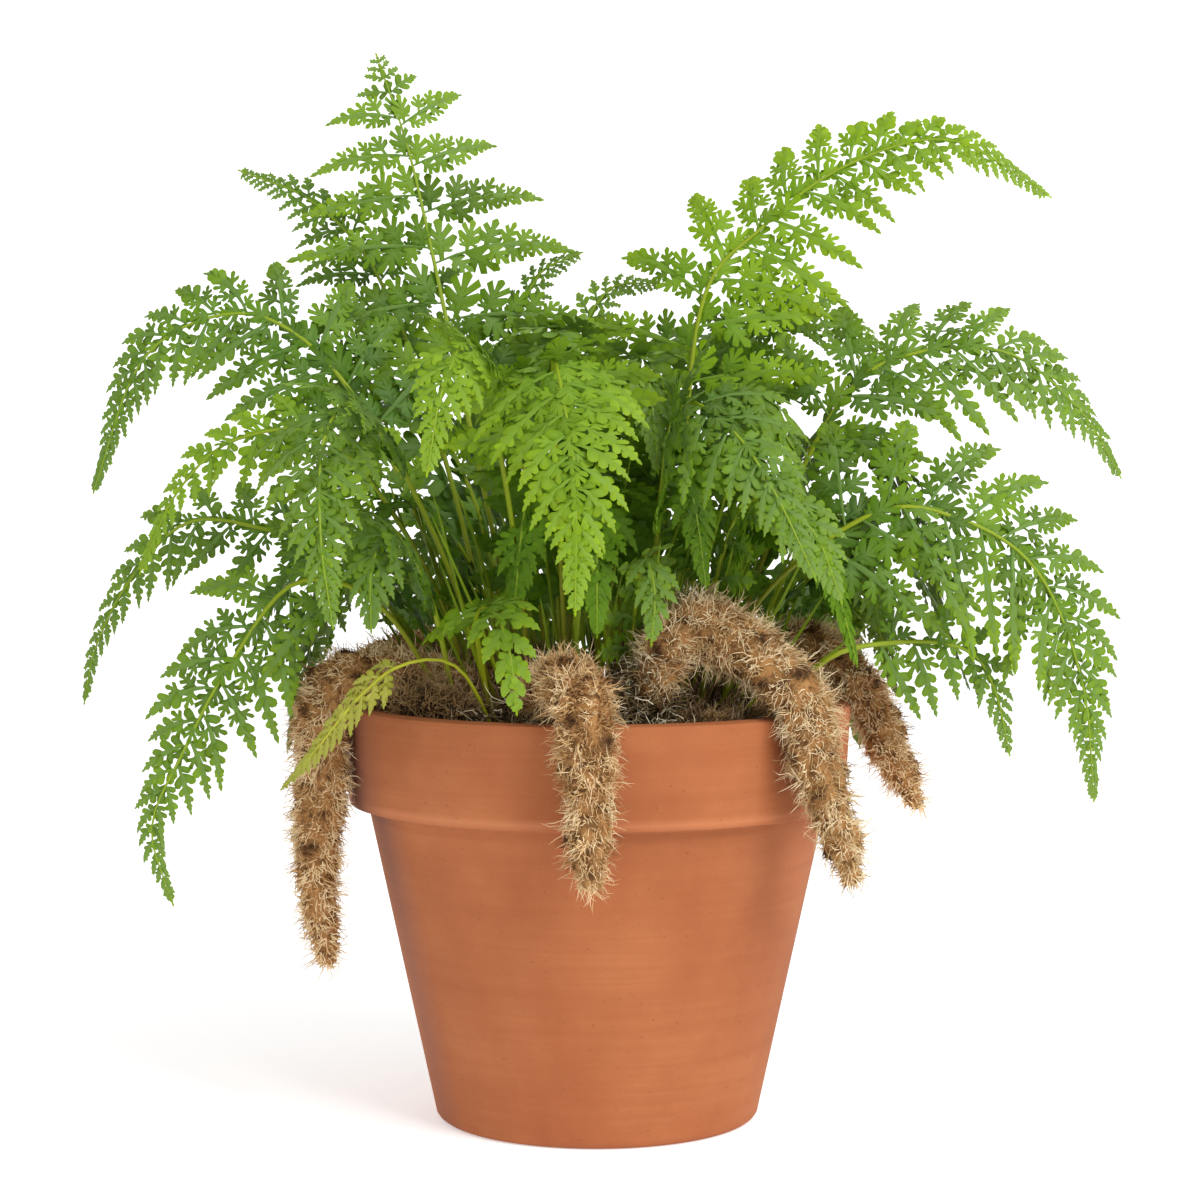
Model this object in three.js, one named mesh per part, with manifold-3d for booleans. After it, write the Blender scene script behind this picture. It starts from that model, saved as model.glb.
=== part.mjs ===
// A rabbit's foot fern in a terracotta pot: a clay pot filled with compost, furry rhizomes that creep over
// the compost and hang over the rim, and lacy fronds on wiry stipes that stand in sockets in them.
import * as THREE from "three";
import { mergeVertices } from "three/addons/utils/BufferGeometryUtils.js";
import Module from "manifold-3d";

const wasm = await Module();
wasm.setup();

// Driving sizes in millimetres. The origin is the middle of the pot's foot, and +Z is up.
const SEAT_GAP = 0.3;
const SEAT_REACH = 20;
const SEAT_DROPS = 5;

const POT_HEIGHT = 130;
const RIM_RADIUS = 80;
const RIM_INNER_RADIUS = 72.5;
const COLLAR_DEPTH = 31.5;
const COLLAR_TAPER = 1.7;
const COLLAR_STEP = 6.3;
const FOOT_RADIUS = 51;
const FOOT_ROUNDING = 3;
const EDGE_ROUNDING = 1.2;
const FLOOR_THICKNESS = 9;
const FLOOR_INNER_RADIUS = 44;
const DRAIN_RADIUS = 8;
const POT_SIDES = 36;

const COMPOST_EDGE = 119;
const COMPOST_CROWN = 5;
const COMPOST_RELIEF = 1.2;
const COMPOST_SIDES = 20;
const COMPOST_RINGS = [1, 0.8, 0.45];

const RHIZOME_SIDES = 7;
const RHIZOME_STEP = 7;
const RHIZOME_KNOBS = 0.12;

const STIPE_RADIUS = 1.25;
const RACHIS_TIP_RADIUS = 0.45;
const STIPE_STEP = 44;
const ROOT_DEPTH = 7;
const SOCKET_LENGTH = 30;
const SOCKET_GAP = 0.4;
const BLADE_THICKNESS = 0.7;
const LEAFLET_GAP = 0.35;
const FROND_STATIONS = 8;
const STATION_CROWDING = 1.7;
const RAIL_STEPS = 160;

const LEAFLET_SPLAY = 72;
const LEAFLET_SPLAY_FALL = 28;
const LEAFLET_TAPER = 0.72;
const LEAFLET_FILL = 0.44;
const LEAFLET_SAG = 0.18;
const LEAFLET_REST_BEND = -4;
const NOTCH_DEPTH = 0.42;
const LOBES_BY_LENGTH = [38, 22, 7];
const BEND_TRIES = [0, 14, -14, 28, -28, 42, -42, 56, -56];
const REACH_TRIES = [1, 0.8, 0.6, 0.4, 0.25];

const vec = (x, y, z) => new THREE.Vector3(x, y, z);
const radians = THREE.MathUtils.degToRad;

// A skin is a list of points and of triangles over them, wound so that they face outwards.
function newSkin() {
  return { points: [], faces: [] };
}

function addPoint(skin, point) {
  skin.points.push(point.x, point.y, point.z);
  return skin.points.length / 3 - 1;
}

function geometryOf(skin) {
  const geometry = new THREE.BufferGeometry();
  geometry.setAttribute("position", new THREE.Float32BufferAttribute(skin.points, 3));
  geometry.setIndex(skin.faces);
  return geometry;
}

// Rings of points that all run the same way, closed at each end by a point.
function skinOver(rings, startPoint, endPoint) {
  const skin = newSkin();
  const sides = rings[0].length;
  const start = addPoint(skin, startPoint);
  rings.flat().forEach((point) => addPoint(skin, point));
  const end = addPoint(skin, endPoint);
  const at = (ring, side) => 1 + ring * sides + (side % sides);
  const last = rings.length - 1;
  for (let side = 0; side < sides; side++) {
    skin.faces.push(start, at(0, side + 1), at(0, side));
    skin.faces.push(end, at(last, side), at(last, side + 1));
    for (let ring = 0; ring < last; ring++) {
      skin.faces.push(at(ring, side), at(ring, side + 1), at(ring + 1, side + 1));
      skin.faces.push(at(ring, side), at(ring + 1, side + 1), at(ring + 1, side));
    }
  }
  return skin;
}

// Solids that are cut, and geometry made from them again.
function solidOf(geometry) {
  const bare = geometry.clone();
  bare.deleteAttribute("normal");
  bare.deleteAttribute("uv");
  const merged = mergeVertices(bare, 1e-4);
  const mesh = new wasm.Mesh({
    numProp: 3,
    vertProperties: merged.attributes.position.array,
    triVerts: new Uint32Array(merged.index.array),
  });
  return new wasm.Manifold(mesh);
}

function geometryFromSolid(solid) {
  const mesh = solid.getMesh();
  const geometry = new THREE.BufferGeometry();
  geometry.setAttribute("position", new THREE.BufferAttribute(mesh.vertProperties, 3));
  geometry.setIndex(new THREE.BufferAttribute(mesh.triVerts, 1));
  return geometry;
}

function largestBody(solid) {
  return solid.decompose().sort((a, b) => b.volume() - a.volume())[0];
}

// Lowers a solid on to what carries it, by no more at a time than the room that is left between them.
function seated(solid, carriers) {
  let resting = solid;
  for (let drop = 0; drop < SEAT_DROPS; drop++) {
    const gaps = carriers.map((carrier) => resting.minGap(carrier, SEAT_REACH));
    resting = resting.translate(0, 0, SEAT_GAP - Math.min(...gaps));
  }
  return resting;
}

// The pot is thrown clay: a tapering body, a deeper collar that stands out from it, and a drain hole.
function potOutline() {
  const collarFoot = POT_HEIGHT - COLLAR_DEPTH;
  const collarRadius = RIM_RADIUS - COLLAR_TAPER;
  const neckRadius = collarRadius - COLLAR_STEP;
  return [
    [FOOT_RADIUS - FOOT_ROUNDING, 0],
    [FOOT_RADIUS - 0.3 * FOOT_ROUNDING, 0.3 * FOOT_ROUNDING],
    [FOOT_RADIUS, FOOT_ROUNDING],
    [neckRadius, collarFoot - EDGE_ROUNDING],
    [neckRadius + EDGE_ROUNDING, collarFoot],
    [collarRadius - EDGE_ROUNDING, collarFoot],
    [collarRadius, collarFoot + EDGE_ROUNDING],
    [RIM_RADIUS, POT_HEIGHT - EDGE_ROUNDING],
    [RIM_RADIUS - EDGE_ROUNDING, POT_HEIGHT],
    [RIM_INNER_RADIUS + EDGE_ROUNDING, POT_HEIGHT],
    [RIM_INNER_RADIUS, POT_HEIGHT - EDGE_ROUNDING],
    [FLOOR_INNER_RADIUS, FLOOR_THICKNESS],
    [DRAIN_RADIUS, FLOOR_THICKNESS],
    [DRAIN_RADIUS, 0],
  ];
}

function potGeometry() {
  const outline = potOutline();
  const profile = [...outline, outline[0]].map(([r, z]) => new THREE.Vector2(r, z));
  return new THREE.LatheGeometry(profile, POT_SIDES).rotateX(Math.PI / 2);
}

// Compost: it fills the pot and is heaped a little in the middle, with a lumpy top.
function compostRadius(z) {
  const share = (z - FLOOR_THICKNESS) / (POT_HEIGHT - EDGE_ROUNDING - FLOOR_THICKNESS);
  const clay = FLOOR_INNER_RADIUS + (RIM_INNER_RADIUS - FLOOR_INNER_RADIUS) * share;
  return clay * Math.cos(Math.PI / POT_SIDES) - SEAT_GAP;
}

function compostHeight(x, y) {
  const out = Math.min(1, Math.hypot(x, y) / compostRadius(COMPOST_EDGE));
  const crown = COMPOST_CROWN * (1 - out * out);
  const lumps = Math.sin(0.21 * x + 0.4) * Math.sin(0.19 * y) + 0.6 * Math.sin(0.11 * (x + 2 * y));
  return COMPOST_EDGE + crown + COMPOST_RELIEF * lumps * (1 - out ** 4);
}

function compostGeometry() {
  const edge = compostRadius(COMPOST_EDGE);
  const bottom = FLOOR_THICKNESS + SEAT_GAP;
  const ringAt = (radius, heightAt) =>
    Array.from({ length: COMPOST_SIDES }, (_, side) => {
      const turn = (2 * Math.PI * side) / COMPOST_SIDES;
      const [x, y] = [radius * Math.cos(turn), radius * Math.sin(turn)];
      return vec(x, y, heightAt(x, y));
    });
  const rings = [ringAt(compostRadius(bottom), () => bottom)];
  COMPOST_RINGS.forEach((share) => rings.push(ringAt(edge * share, compostHeight)));
  return geometryOf(skinOver(rings, vec(0, 0, bottom), vec(0, 0, compostHeight(0, 0))));
}

// A rail is a smooth line through chosen points, measured along its length.
function railThrough(points) {
  const curve = new THREE.CatmullRomCurve3(points, false, "catmullrom", 0.5);
  const stops = curve.getPoints(RAIL_STEPS);
  const lengths = [0];
  for (let i = 1; i < stops.length; i++) {
    lengths.push(lengths[i - 1] + stops[i].distanceTo(stops[i - 1]));
  }
  return { stops, lengths, length: lengths[RAIL_STEPS] };
}

function pointOn(rail, distance) {
  let i = 1;
  while (i < RAIL_STEPS && rail.lengths[i] < distance) i++;
  const span = rail.lengths[i] - rail.lengths[i - 1];
  const share = (distance - rail.lengths[i - 1]) / span;
  return rail.stops[i - 1].clone().lerp(rail.stops[i], share);
}

function directionOn(rail, distance) {
  const behind = pointOn(rail, Math.max(0, distance - 1));
  const ahead = pointOn(rail, Math.min(rail.length, distance + 1));
  return ahead.sub(behind).normalize();
}

// Rhizomes: stems as thick as a finger under their fur, lying on the compost and draped over the rim.
// Each way starts on the compost and ends at the growing tip.
const RHIZOMES = [
  { name: "rhizome_left", radius: 8.5, tipRadius: 5,
    way: [[-32, -12, 134], [-50, -18, 138], [-68, -23, 140], [-80, -26, 130], [-85, -27, 105],
      [-86, -28, 78], [-82, -28, 51]] },
  { name: "rhizome_left_back", radius: 8, tipRadius: 5,
    way: [[-36, 32, 136], [-51, 33, 148], [-71, 33, 147], [-87, 29, 131], [-94, 25, 112]] },
  { name: "rhizome_front", radius: 9, tipRadius: 5.5,
    way: [[-20, -34, 132], [-14, -52, 138], [-8, -70, 140], [-4, -86, 134], [-2, -90, 112], [-2, -88, 85]] },
  { name: "rhizome_front_right", radius: 9, tipRadius: 5,
    way: [[17, -49, 135], [20, -50, 149], [31, -49, 156], [45, -52, 150], [56, -57, 140], [63, -61, 122],
      [70, -64, 100], [76, -62, 81]] },
  { name: "rhizome_right", radius: 8, tipRadius: 5,
    way: [[42, 21, 137], [56, 19, 148], [73, 16, 147], [86, 13, 132], [95, 9, 114], [103, 5, 98]] },
  { name: "rhizome_creeping_left", radius: 7.5, tipRadius: 5.5,
    way: [[-62, -34, 131], [-50, -44, 133], [-36, -47, 133]] },
  { name: "rhizome_creeping_right", radius: 6, tipRadius: 5,
    way: [[26, -60, 130], [39, -50, 130], [52, -38, 130]] },
  { name: "rhizome_back_left", radius: 8.5, tipRadius: 5,
    way: [[-20, 44, 134], [-32, 60, 139], [-42, 74, 138], [-47, 84, 122], [-48, 84, 96], [-44, 80, 66]] },
  { name: "rhizome_back_right", radius: 8.5, tipRadius: 5,
    way: [[20, 42, 134], [27, 58, 139], [37, 76, 139], [42, 86, 124], [42, 86, 98]] },
];

// The nearest point of the clay to a place, both as radius and height.
function offPot(radius, height) {
  const outline = potOutline();
  let nearest = null;
  for (let i = 1; i < outline.length; i++) {
    const [r0, z0] = outline[i - 1];
    const [r1, z1] = outline[i];
    const run = [r1 - r0, z1 - z0];
    const reach = ((radius - r0) * run[0] + (height - z0) * run[1]) / (run[0] ** 2 + run[1] ** 2);
    const share = Math.min(1, Math.max(0, reach));
    const place = [r0 + share * run[0], z0 + share * run[1]];
    const gap = Math.hypot(radius - place[0], height - place[1]);
    if (!nearest || gap < nearest.gap) nearest = { gap, place };
  }
  return nearest;
}

// A point of a rhizome's middle line, lifted off the compost and moved out from the clay.
function drapedPoint(point, radius) {
  const moved = point.clone();
  const room = radius + SEAT_GAP;
  const out = Math.hypot(moved.x, moved.y);
  if (out < compostRadius(COMPOST_EDGE)) {
    moved.z = Math.max(moved.z, compostHeight(moved.x, moved.y) + room + COMPOST_RELIEF);
  }
  const clay = offPot(out, moved.z);
  if (clay.gap < room) {
    const shift = (room - clay.gap) / clay.gap;
    const outwards = ((out - clay.place[0]) * shift) / out;
    moved.x += moved.x * outwards;
    moved.y += moved.y * outwards;
    moved.z += (moved.z - clay.place[1]) * shift;
  }
  return moved;
}

// Rhizome radius along its length: blunt where it starts, full along the middle, narrow at the tip.
function rhizomeRadius(row, share) {
  const start = 0.72 + 0.28 * Math.min(1, share / 0.12);
  const narrowing = Math.max(0, (share - 0.45) / 0.55) ** 1.4;
  return start * (row.radius + (row.tipRadius - row.radius) * narrowing);
}

function rhizomeRings(row) {
  const first = railThrough(row.way.map((point) => vec(...point)));
  const count = Math.round(first.length / RHIZOME_STEP);
  const widest = 1 + RHIZOME_KNOBS;
  const middle = Array.from({ length: count + 1 }, (_, i) => {
    const share = i / count;
    return drapedPoint(pointOn(first, share * first.length), rhizomeRadius(row, share) * widest);
  });
  const frames = new THREE.CatmullRomCurve3(middle).computeFrenetFrames(count, false);
  return middle.map((centre, i) =>
    Array.from({ length: RHIZOME_SIDES }, (_, side) => {
      const turn = (2 * Math.PI * side) / RHIZOME_SIDES;
      const knobs = RHIZOME_KNOBS * Math.sin(2 * turn + 1.9 * i) * Math.cos(1.3 * i + turn);
      const radius = rhizomeRadius(row, i / count) * (1 + knobs);
      return centre
        .clone()
        .addScaledVector(frames.normals[i], radius * Math.cos(turn))
        .addScaledVector(frames.binormals[i], radius * Math.sin(turn));
    }),
  );
}

function centreOf(ring) {
  const sum = ring.reduce((total, point) => total.add(point), vec(0, 0, 0));
  return sum.divideScalar(ring.length);
}

// The end point stands out past the last ring, so that the growing tip is rounded.
function endPoint(rings, from, to, radius) {
  const outwards = centreOf(rings[to]).sub(centreOf(rings[from])).normalize();
  return centreOf(rings[to]).addScaledVector(outwards, 0.55 * radius);
}

function rhizomeGeometry(row) {
  const rings = rhizomeRings(row);
  const last = rings.length - 1;
  const start = endPoint(rings, 1, 0, 0.5 * row.radius);
  const end = endPoint(rings, last - 1, last, row.tipRadius);
  return geometryOf(skinOver(rings, start, end));
}

// Fronds. Each row holds the stipe's foot on the compost, its bare length, the longest leaflet, the side that
// the blade turns to the light, and the way of the rachis from the foot to the frond's tip.
const GREENS = { fresh: 0x8fbf2f, mid: 0x4f9a2c, deep: 0x3f8440, dark: 0x2f6d24, yellow: 0xc9c62e };

const SHOWN_FRONDS = [
  { foot: [-20, 8], bare: 118, wide: 62, splay: 100, taper: 0.5, face: [0.1, -1, 0.2], tint: "mid",
    way: [[-34, 16, 185], [-49, 25, 252], [-61, 30, 305], [-72, 32, 338]] },
  { foot: [16, 4], bare: 116, wide: 52, splay: 88, taper: 0.82, face: [-0.1, -0.95, 0.45], tint: "fresh",
    way: [[26, 10, 190], [34, 16, 257], [53, 18, 281], [80, 16, 301], [113, 12, 309], [144, 8, 291]] },
  { foot: [-8, -30], bare: 100, wide: 38, splay: 80, face: [0, -1, 0.5], tint: "fresh",
    way: [[-12, -50, 200], [-13, -68, 236], [-9, -92, 221], [-6, -109, 200], [-6, -118, 166]] },
  { foot: [36, -20], bare: 76, wide: 46, face: [0.3, -1, 0.6], tint: "mid",
    way: [[48, -22, 160], [85, -24, 190], [113, -24, 188], [136, -24, 172], [150, -22, 138],
      [154, -20, 102]] },
  { foot: [-38, -22], bare: 66, wide: 38, face: [-0.3, -1, 0.5], tint: "mid",
    way: [[-64, -34, 160], [-90, -44, 170], [-110, -46, 146], [-125, -46, 118], [-134, -46, 96],
      [-128, -46, 74]] },
  { foot: [34, 6], bare: 104, wide: 42, face: [0.1, -0.8, 0.8], tint: "mid",
    way: [[55, 4, 180], [78, 0, 226], [100, -2, 240], [130, -4, 240], [152, -6, 222], [164, -8, 202]] },
  { foot: [-34, 4], bare: 108, wide: 42, face: [-0.1, -0.8, 0.8], tint: "deep",
    way: [[-56, 6, 185], [-80, 8, 230], [-104, 10, 251], [-127, 10, 251], [-147, 10, 236],
      [-161, 10, 197]] },
  { foot: [-42, 12], bare: 80, wide: 32, face: [-0.1, -0.7, 1], tint: "mid",
    way: [[-76, 14, 172], [-107, 14, 184], [-132, 15, 186], [-150, 15, 168], [-161, 15, 147],
      [-165, 15, 129]] },
  { foot: [-34, -12], bare: 80, wide: 36, face: [-0.2, -0.9, 0.7], tint: "fresh",
    way: [[-52, -16, 170], [-82, -20, 212], [-111, -24, 213], [-129, -26, 197], [-140, -28, 173]] },
  { foot: [-26, -18], bare: 92, wide: 36, splay: 76, face: [-0.3, -1, 0.4], tint: "mid",
    way: [[-48, -34, 180], [-70, -50, 222], [-80, -66, 214], [-80, -80, 186], [-76, -86, 160]] },
  { foot: [-18, -24], bare: 94, wide: 38, splay: 76, face: [0, -1, 0.7], tint: "fresh",
    way: [[-26, -44, 190], [-36, -70, 240], [-44, -88, 228], [-48, -98, 204]] },
  { foot: [14, -22], bare: 80, wide: 42, splay: 76, face: [0.1, -1, 0.5], tint: "deep",
    way: [[18, -38, 180], [24, -56, 222], [39, -72, 216], [51, -84, 198], [62, -92, 174]] },
  { foot: [50, -22], bare: 56, wide: 26, face: [0.1, -1, 0.5], tint: "mid",
    way: [[68, -26, 143], [90, -22, 150], [114, -20, 148], [123, -20, 136], [128, -18, 116]] },
  { foot: [-30, -34], bare: 50, wide: 20, face: [0, -1, 0.4], tint: "fresh",
    way: [[-36, -56, 158], [-30, -76, 163], [-25, -88, 152], [-23, -92, 136]] },
  { foot: [-26, -46], bare: 58, wide: 10, splay: 60, face: [-0.2, -1, 0.6], tint: "yellow",
    way: [[-40, -58, 144], [-56, -64, 147], [-70, -66, 137], [-84, -60, 120], [-94, -52, 109]] },
  { foot: [-28, 20], bare: 128, wide: 44, splay: 80, face: [0.2, -1, 0.3], tint: "deep",
    way: [[-48, 32, 200], [-70, 40, 262], [-92, 44, 290], [-118, 46, 302]] },
  { foot: [0, 14], bare: 92, wide: 40, splay: 80, face: [0, -1, 0.5], tint: "mid",
    way: [[-2, 24, 190], [-6, 32, 240], [4, 34, 262], [20, 32, 264]] },
  { foot: [-14, 18], bare: 96, wide: 40, splay: 80, face: [0, -1, 0.5], tint: "deep",
    way: [[-22, 28, 190], [-28, 36, 240], [-20, 38, 266], [-6, 36, 274]] },
  { foot: [26, 22], bare: 96, wide: 42, splay: 76, face: [0.1, -0.9, 0.7], tint: "mid",
    way: [[32, 28, 190], [46, 34, 240], [62, 34, 256], [84, 30, 248], [98, 28, 230]] },
  { foot: [8, -32], bare: 34, wide: 24, face: [0, -1, 0.6], tint: "dark",
    way: [[11, -44, 158], [14, -56, 178], [17, -66, 168], [16, -70, 154]] },
  { foot: [40, -8], bare: 66, wide: 24, face: [0.2, -1, 0.6], tint: "mid",
    way: [[58, -8, 168], [74, -10, 188], [84, -12, 180], [88, -13, 154]] },
  { foot: [-40, -34], bare: 48, wide: 28, face: [-0.2, -1, 0.6], tint: "deep",
    way: [[-50, -44, 165], [-60, -58, 186], [-66, -68, 176], [-66, -72, 158]] },
  { foot: [30, -30], bare: 56, wide: 28, face: [0.2, -1, 0.6], tint: "mid",
    way: [[38, -40, 178], [50, -50, 196], [64, -58, 186], [72, -62, 166]] },
];

// The rest of the crown, laid by rule: foot, compass bearing, reach, crest height, fall of the tip.
const CROWN_FRONDS = [
  [[0, -12], -90, 52, 196, 40, 32, "dark"],
  [[12, -10], -66, 50, 206, 36, 32, "dark"],
  [[-10, -14], -112, 40, 200, 42, 32, "dark"],
  [[24, -10], -35, 66, 190, 44, 32, "dark"],
  [[-25, -3], -164, 62, 192, 46, 32, "dark"],
  [[44, 4], -6, 74, 178, 44, 32, "deep"],
  [[-44, 0], -176, 68, 176, 40, 32, "deep"],
  [[6, 2], -75, 48, 238, 34, 34, "mid"],
  [[-8, 0], -100, 46, 246, 34, 34, "mid"],
  [[26, 10], -36, 50, 226, 44, 32, "mid"],
  [[34, 16], 20, 88, 214, 66, 36, "deep"],
  [[16, 26], 60, 80, 246, 60, 38, "mid"],
  [[-10, 28], 112, 84, 242, 62, 38, "mid"],
  [[-24, 28], 152, 84, 226, 60, 36, "deep"],
  [[4, 36], 88, 80, 206, 70, 38, "deep"],
  [[34, 34], 46, 82, 190, 70, 36, "mid"],
  [[-16, 36], 126, 84, 194, 70, 36, "mid"],
  [[-38, 46], 152, 78, 172, 66, 34, "deep"],
  [[46, 32], 40, 74, 172, 46, 34, "deep"],
  [[6, 52], 78, 62, 168, 56, 32, "fresh"],
  [[-8, 54], 104, 60, 164, 56, 32, "mid"],
  [[42, 46], 46, 72, 160, 54, 30, "mid"],
];

// An arching frond rises steeply, levels out at its crest and lets its tip fall.
function archedFrond([foot, bearing, reach, crest, fall, wide, tint]) {
  const turn = radians(bearing);
  const outwards = vec(Math.cos(turn), Math.sin(turn), 0);
  const base = compostHeight(...foot);
  const stop = (share, z) => {
    const place = vec(foot[0], foot[1], 0).addScaledVector(outwards, reach * share);
    return [place.x, place.y, z];
  };
  const rise = crest - base;
  const way = [
    stop(0.16, base + 0.55 * rise),
    stop(0.42, base + 0.95 * rise),
    stop(0.66, crest),
    stop(0.86, crest - 0.4 * fall),
    stop(1, crest - fall),
  ];
  const bare = 0.62 * rise;
  return { foot, way, bare, wide, face: [0.35 * outwards.x, 0.35 * outwards.y, 1], tint };
}

// Distances from the foot: along the bare stipe, and of the notches between leaflets on each side.
function stationsOf(row, rail) {
  const steps = Math.max(1, Math.round((row.bare - SOCKET_LENGTH) / STIPE_STEP));
  const stipe = [0, SOCKET_LENGTH];
  for (let i = 1; i <= steps; i++) {
    stipe.push(SOCKET_LENGTH + ((row.bare - SOCKET_LENGTH) * i) / steps);
  }
  const blade = rail.length - row.bare;
  const along = (share) => row.bare + blade * (1 - (1 - share) ** STATION_CROWDING);
  const right = [];
  const left = [];
  for (let i = 0; i < FROND_STATIONS; i++) {
    right.push(along(i / FROND_STATIONS));
    left.push(along((i + 0.5) / FROND_STATIONS));
  }
  return { stipe, right, left };
}

// Frames along the rail, turned as little as can be from the one in the middle of the blade.
function framesAlong(rail, distances, face) {
  const frames = distances.map((distance) => ({
    distance,
    point: pointOn(rail, distance),
    along: directionOn(rail, distance),
  }));
  const flatten = (vector, along) =>
    vector.clone().addScaledVector(along, -vector.dot(along)).normalize();
  const middle = Math.floor(0.7 * frames.length);
  frames[middle].up = flatten(vec(...face), frames[middle].along);
  for (let i = middle + 1; i < frames.length; i++) {
    frames[i].up = flatten(frames[i - 1].up, frames[i].along);
  }
  for (let i = middle - 1; i >= 0; i--) {
    frames[i].up = flatten(frames[i + 1].up, frames[i].along);
  }
  frames.forEach((frame) => {
    frame.side = frame.along.clone().cross(frame.up);
  });
  return frames;
}

function rachisRadius(row, rail, distance) {
  const share = Math.max(0, (distance - row.bare) / (rail.length - row.bare));
  return STIPE_RADIUS + (RACHIS_TIP_RADIUS - STIPE_RADIUS) * share;
}

// A corner of the square rachis: hand is 1 on the right and -1 on the left, rise is 1 on top and -1 below.
function cornerOf(frame, radius, hand, rise) {
  return frame.point
    .clone()
    .addScaledVector(frame.side, hand * radius)
    .addScaledVector(frame.up, rise * radius);
}

// Where a leaflet grows from: the middle of its base on the rachis, its directions and its size.
function leafletSeat(frond, hand, index) {
  const side = hand > 0 ? frond.right : frond.left;
  const [near, far] = [side[index], side[index + 1]];
  const edge = (frame) => frame.point.clone().addScaledVector(frame.side, hand * frame.radius);
  const [from, to] = [edge(near), edge(far)];
  const gap = from.distanceTo(to);
  const along = to.clone().sub(from).normalize();
  const out = near.side.clone().add(far.side).multiplyScalar(hand);
  out.addScaledVector(along, -out.dot(along)).normalize();
  const up = out.clone().cross(along).multiplyScalar(hand);
  const place = (near.distance + far.distance) / 2;
  const left = (frond.rail.length - place) / (frond.rail.length - frond.row.bare);
  const { wide, splay = LEAFLET_SPLAY, taper = LEAFLET_TAPER } = frond.row;
  return {
    middle: from.clone().add(to).divideScalar(2),
    along,
    out,
    up,
    gap,
    angle: radians(splay - LEAFLET_SPLAY_FALL * (1 - left)),
    length: wide * left ** taper,
  };
}

function lobeCount(length) {
  return LOBES_BY_LENGTH.length - LOBES_BY_LENGTH.filter((limit) => length < limit).length;
}

// A leaflet's points. Its lobes end in points, and the notches between them have a top and an underside.
function leafletPoints(seat, bend, reach, thickness) {
  const turn = radians(bend + LEAFLET_REST_BEND);
  const out = seat.out.clone().multiplyScalar(Math.cos(turn)).addScaledVector(seat.up, Math.sin(turn));
  const up = seat.up.clone().multiplyScalar(Math.cos(turn)).addScaledVector(seat.out, -Math.sin(turn));
  const rib = seat.along
    .clone()
    .multiplyScalar(Math.cos(seat.angle))
    .addScaledVector(out, Math.sin(seat.angle));
  const across = seat.along
    .clone()
    .multiplyScalar(Math.sin(seat.angle))
    .addScaledVector(out, -Math.cos(seat.angle));
  const length = seat.length * reach;
  const halfWidth = LEAFLET_FILL * seat.gap * Math.sin(seat.angle);
  const at = (share, width, rise) =>
    seat.middle
      .clone()
      .addScaledVector(rib, share * length)
      .addScaledVector(across, width)
      .addScaledVector(up, rise)
      .add(vec(0, 0, -LEAFLET_SAG * length * share * share));
  const lobes = lobeCount(length);
  const step = 1 / (lobes + 0.8);
  const rise = thickness / 2;
  const rows = [];
  for (let i = 1; i <= lobes; i++) {
    const tipShare = (i - 0.25) * step;
    const width = halfWidth * (1 - 0.5 * tipShare);
    const notch = width * NOTCH_DEPTH;
    rows.push({
      backTip: at(tipShare, -width, 0),
      frontTip: at(tipShare, width, 0),
      backTop: at(i * step, -notch, rise),
      backUnder: at(i * step, -notch, -rise),
      frontTop: at(i * step, notch, rise),
      frontUnder: at(i * step, notch, -rise),
    });
  }
  return { rows, tip: at(1, 0, 0), base: { at, rise, halfWidth } };
}

// Joins a leaflet to the four corners of its base. The two faces are split into triangles alike.
function growLeaflet(skin, corners, points, hand) {
  const triangle = (a, b, c) => skin.faces.push(...(hand > 0 ? [a, b, c] : [a, c, b]));
  let from = corners;
  points.rows.forEach((row) => {
    const to = {};
    Object.entries(row).forEach(([name, point]) => {
      to[name] = addPoint(skin, point);
    });
    triangle(from.backTop, to.backTop, to.frontTop);
    triangle(from.backTop, to.frontTop, from.frontTop);
    triangle(from.backUnder, to.frontUnder, to.backUnder);
    triangle(from.backUnder, from.frontUnder, to.frontUnder);
    triangle(from.backTop, to.backTip, to.backTop);
    triangle(from.backUnder, to.backUnder, to.backTip);
    triangle(from.backTop, from.backUnder, to.backTip);
    triangle(to.backUnder, to.backTop, to.backTip);
    triangle(from.frontTop, to.frontTop, to.frontTip);
    triangle(from.frontUnder, to.frontTip, to.frontUnder);
    triangle(from.frontUnder, from.frontTop, to.frontTip);
    triangle(to.frontTop, to.frontUnder, to.frontTip);
    from = to;
  });
  const tip = addPoint(skin, points.tip);
  triangle(from.backTop, tip, from.frontTop);
  triangle(from.backUnder, from.frontUnder, tip);
  triangle(from.backTop, from.backUnder, tip);
  triangle(from.frontUnder, from.frontTop, tip);
}

// The room that a leaflet takes, as a solid a little thicker than the leaflet itself.
function leafletRoom(seat, bend, reach, hand) {
  const points = leafletPoints(seat, bend, reach, BLADE_THICKNESS + 2 * LEAFLET_GAP);
  const { at, rise, halfWidth } = points.base;
  const width = 0.8 * halfWidth;
  const skin = newSkin();
  const corners = {
    backTop: addPoint(skin, at(0.12, -width, rise)),
    backUnder: addPoint(skin, at(0.12, -width, -rise)),
    frontTop: addPoint(skin, at(0.12, width, rise)),
    frontUnder: addPoint(skin, at(0.12, width, -rise)),
  };
  const cap = (a, b, c) => skin.faces.push(...(hand > 0 ? [a, b, c] : [a, c, b]));
  cap(corners.backUnder, corners.backTop, corners.frontTop);
  cap(corners.backUnder, corners.frontTop, corners.frontUnder);
  growLeaflet(skin, corners, points, hand);
  return takenRoom(skin);
}

function takenRoom(skin) {
  const geometry = geometryOf(skin);
  geometry.computeBoundingBox();
  return { box: geometry.boundingBox, solid: solidOf(geometry) };
}

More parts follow.
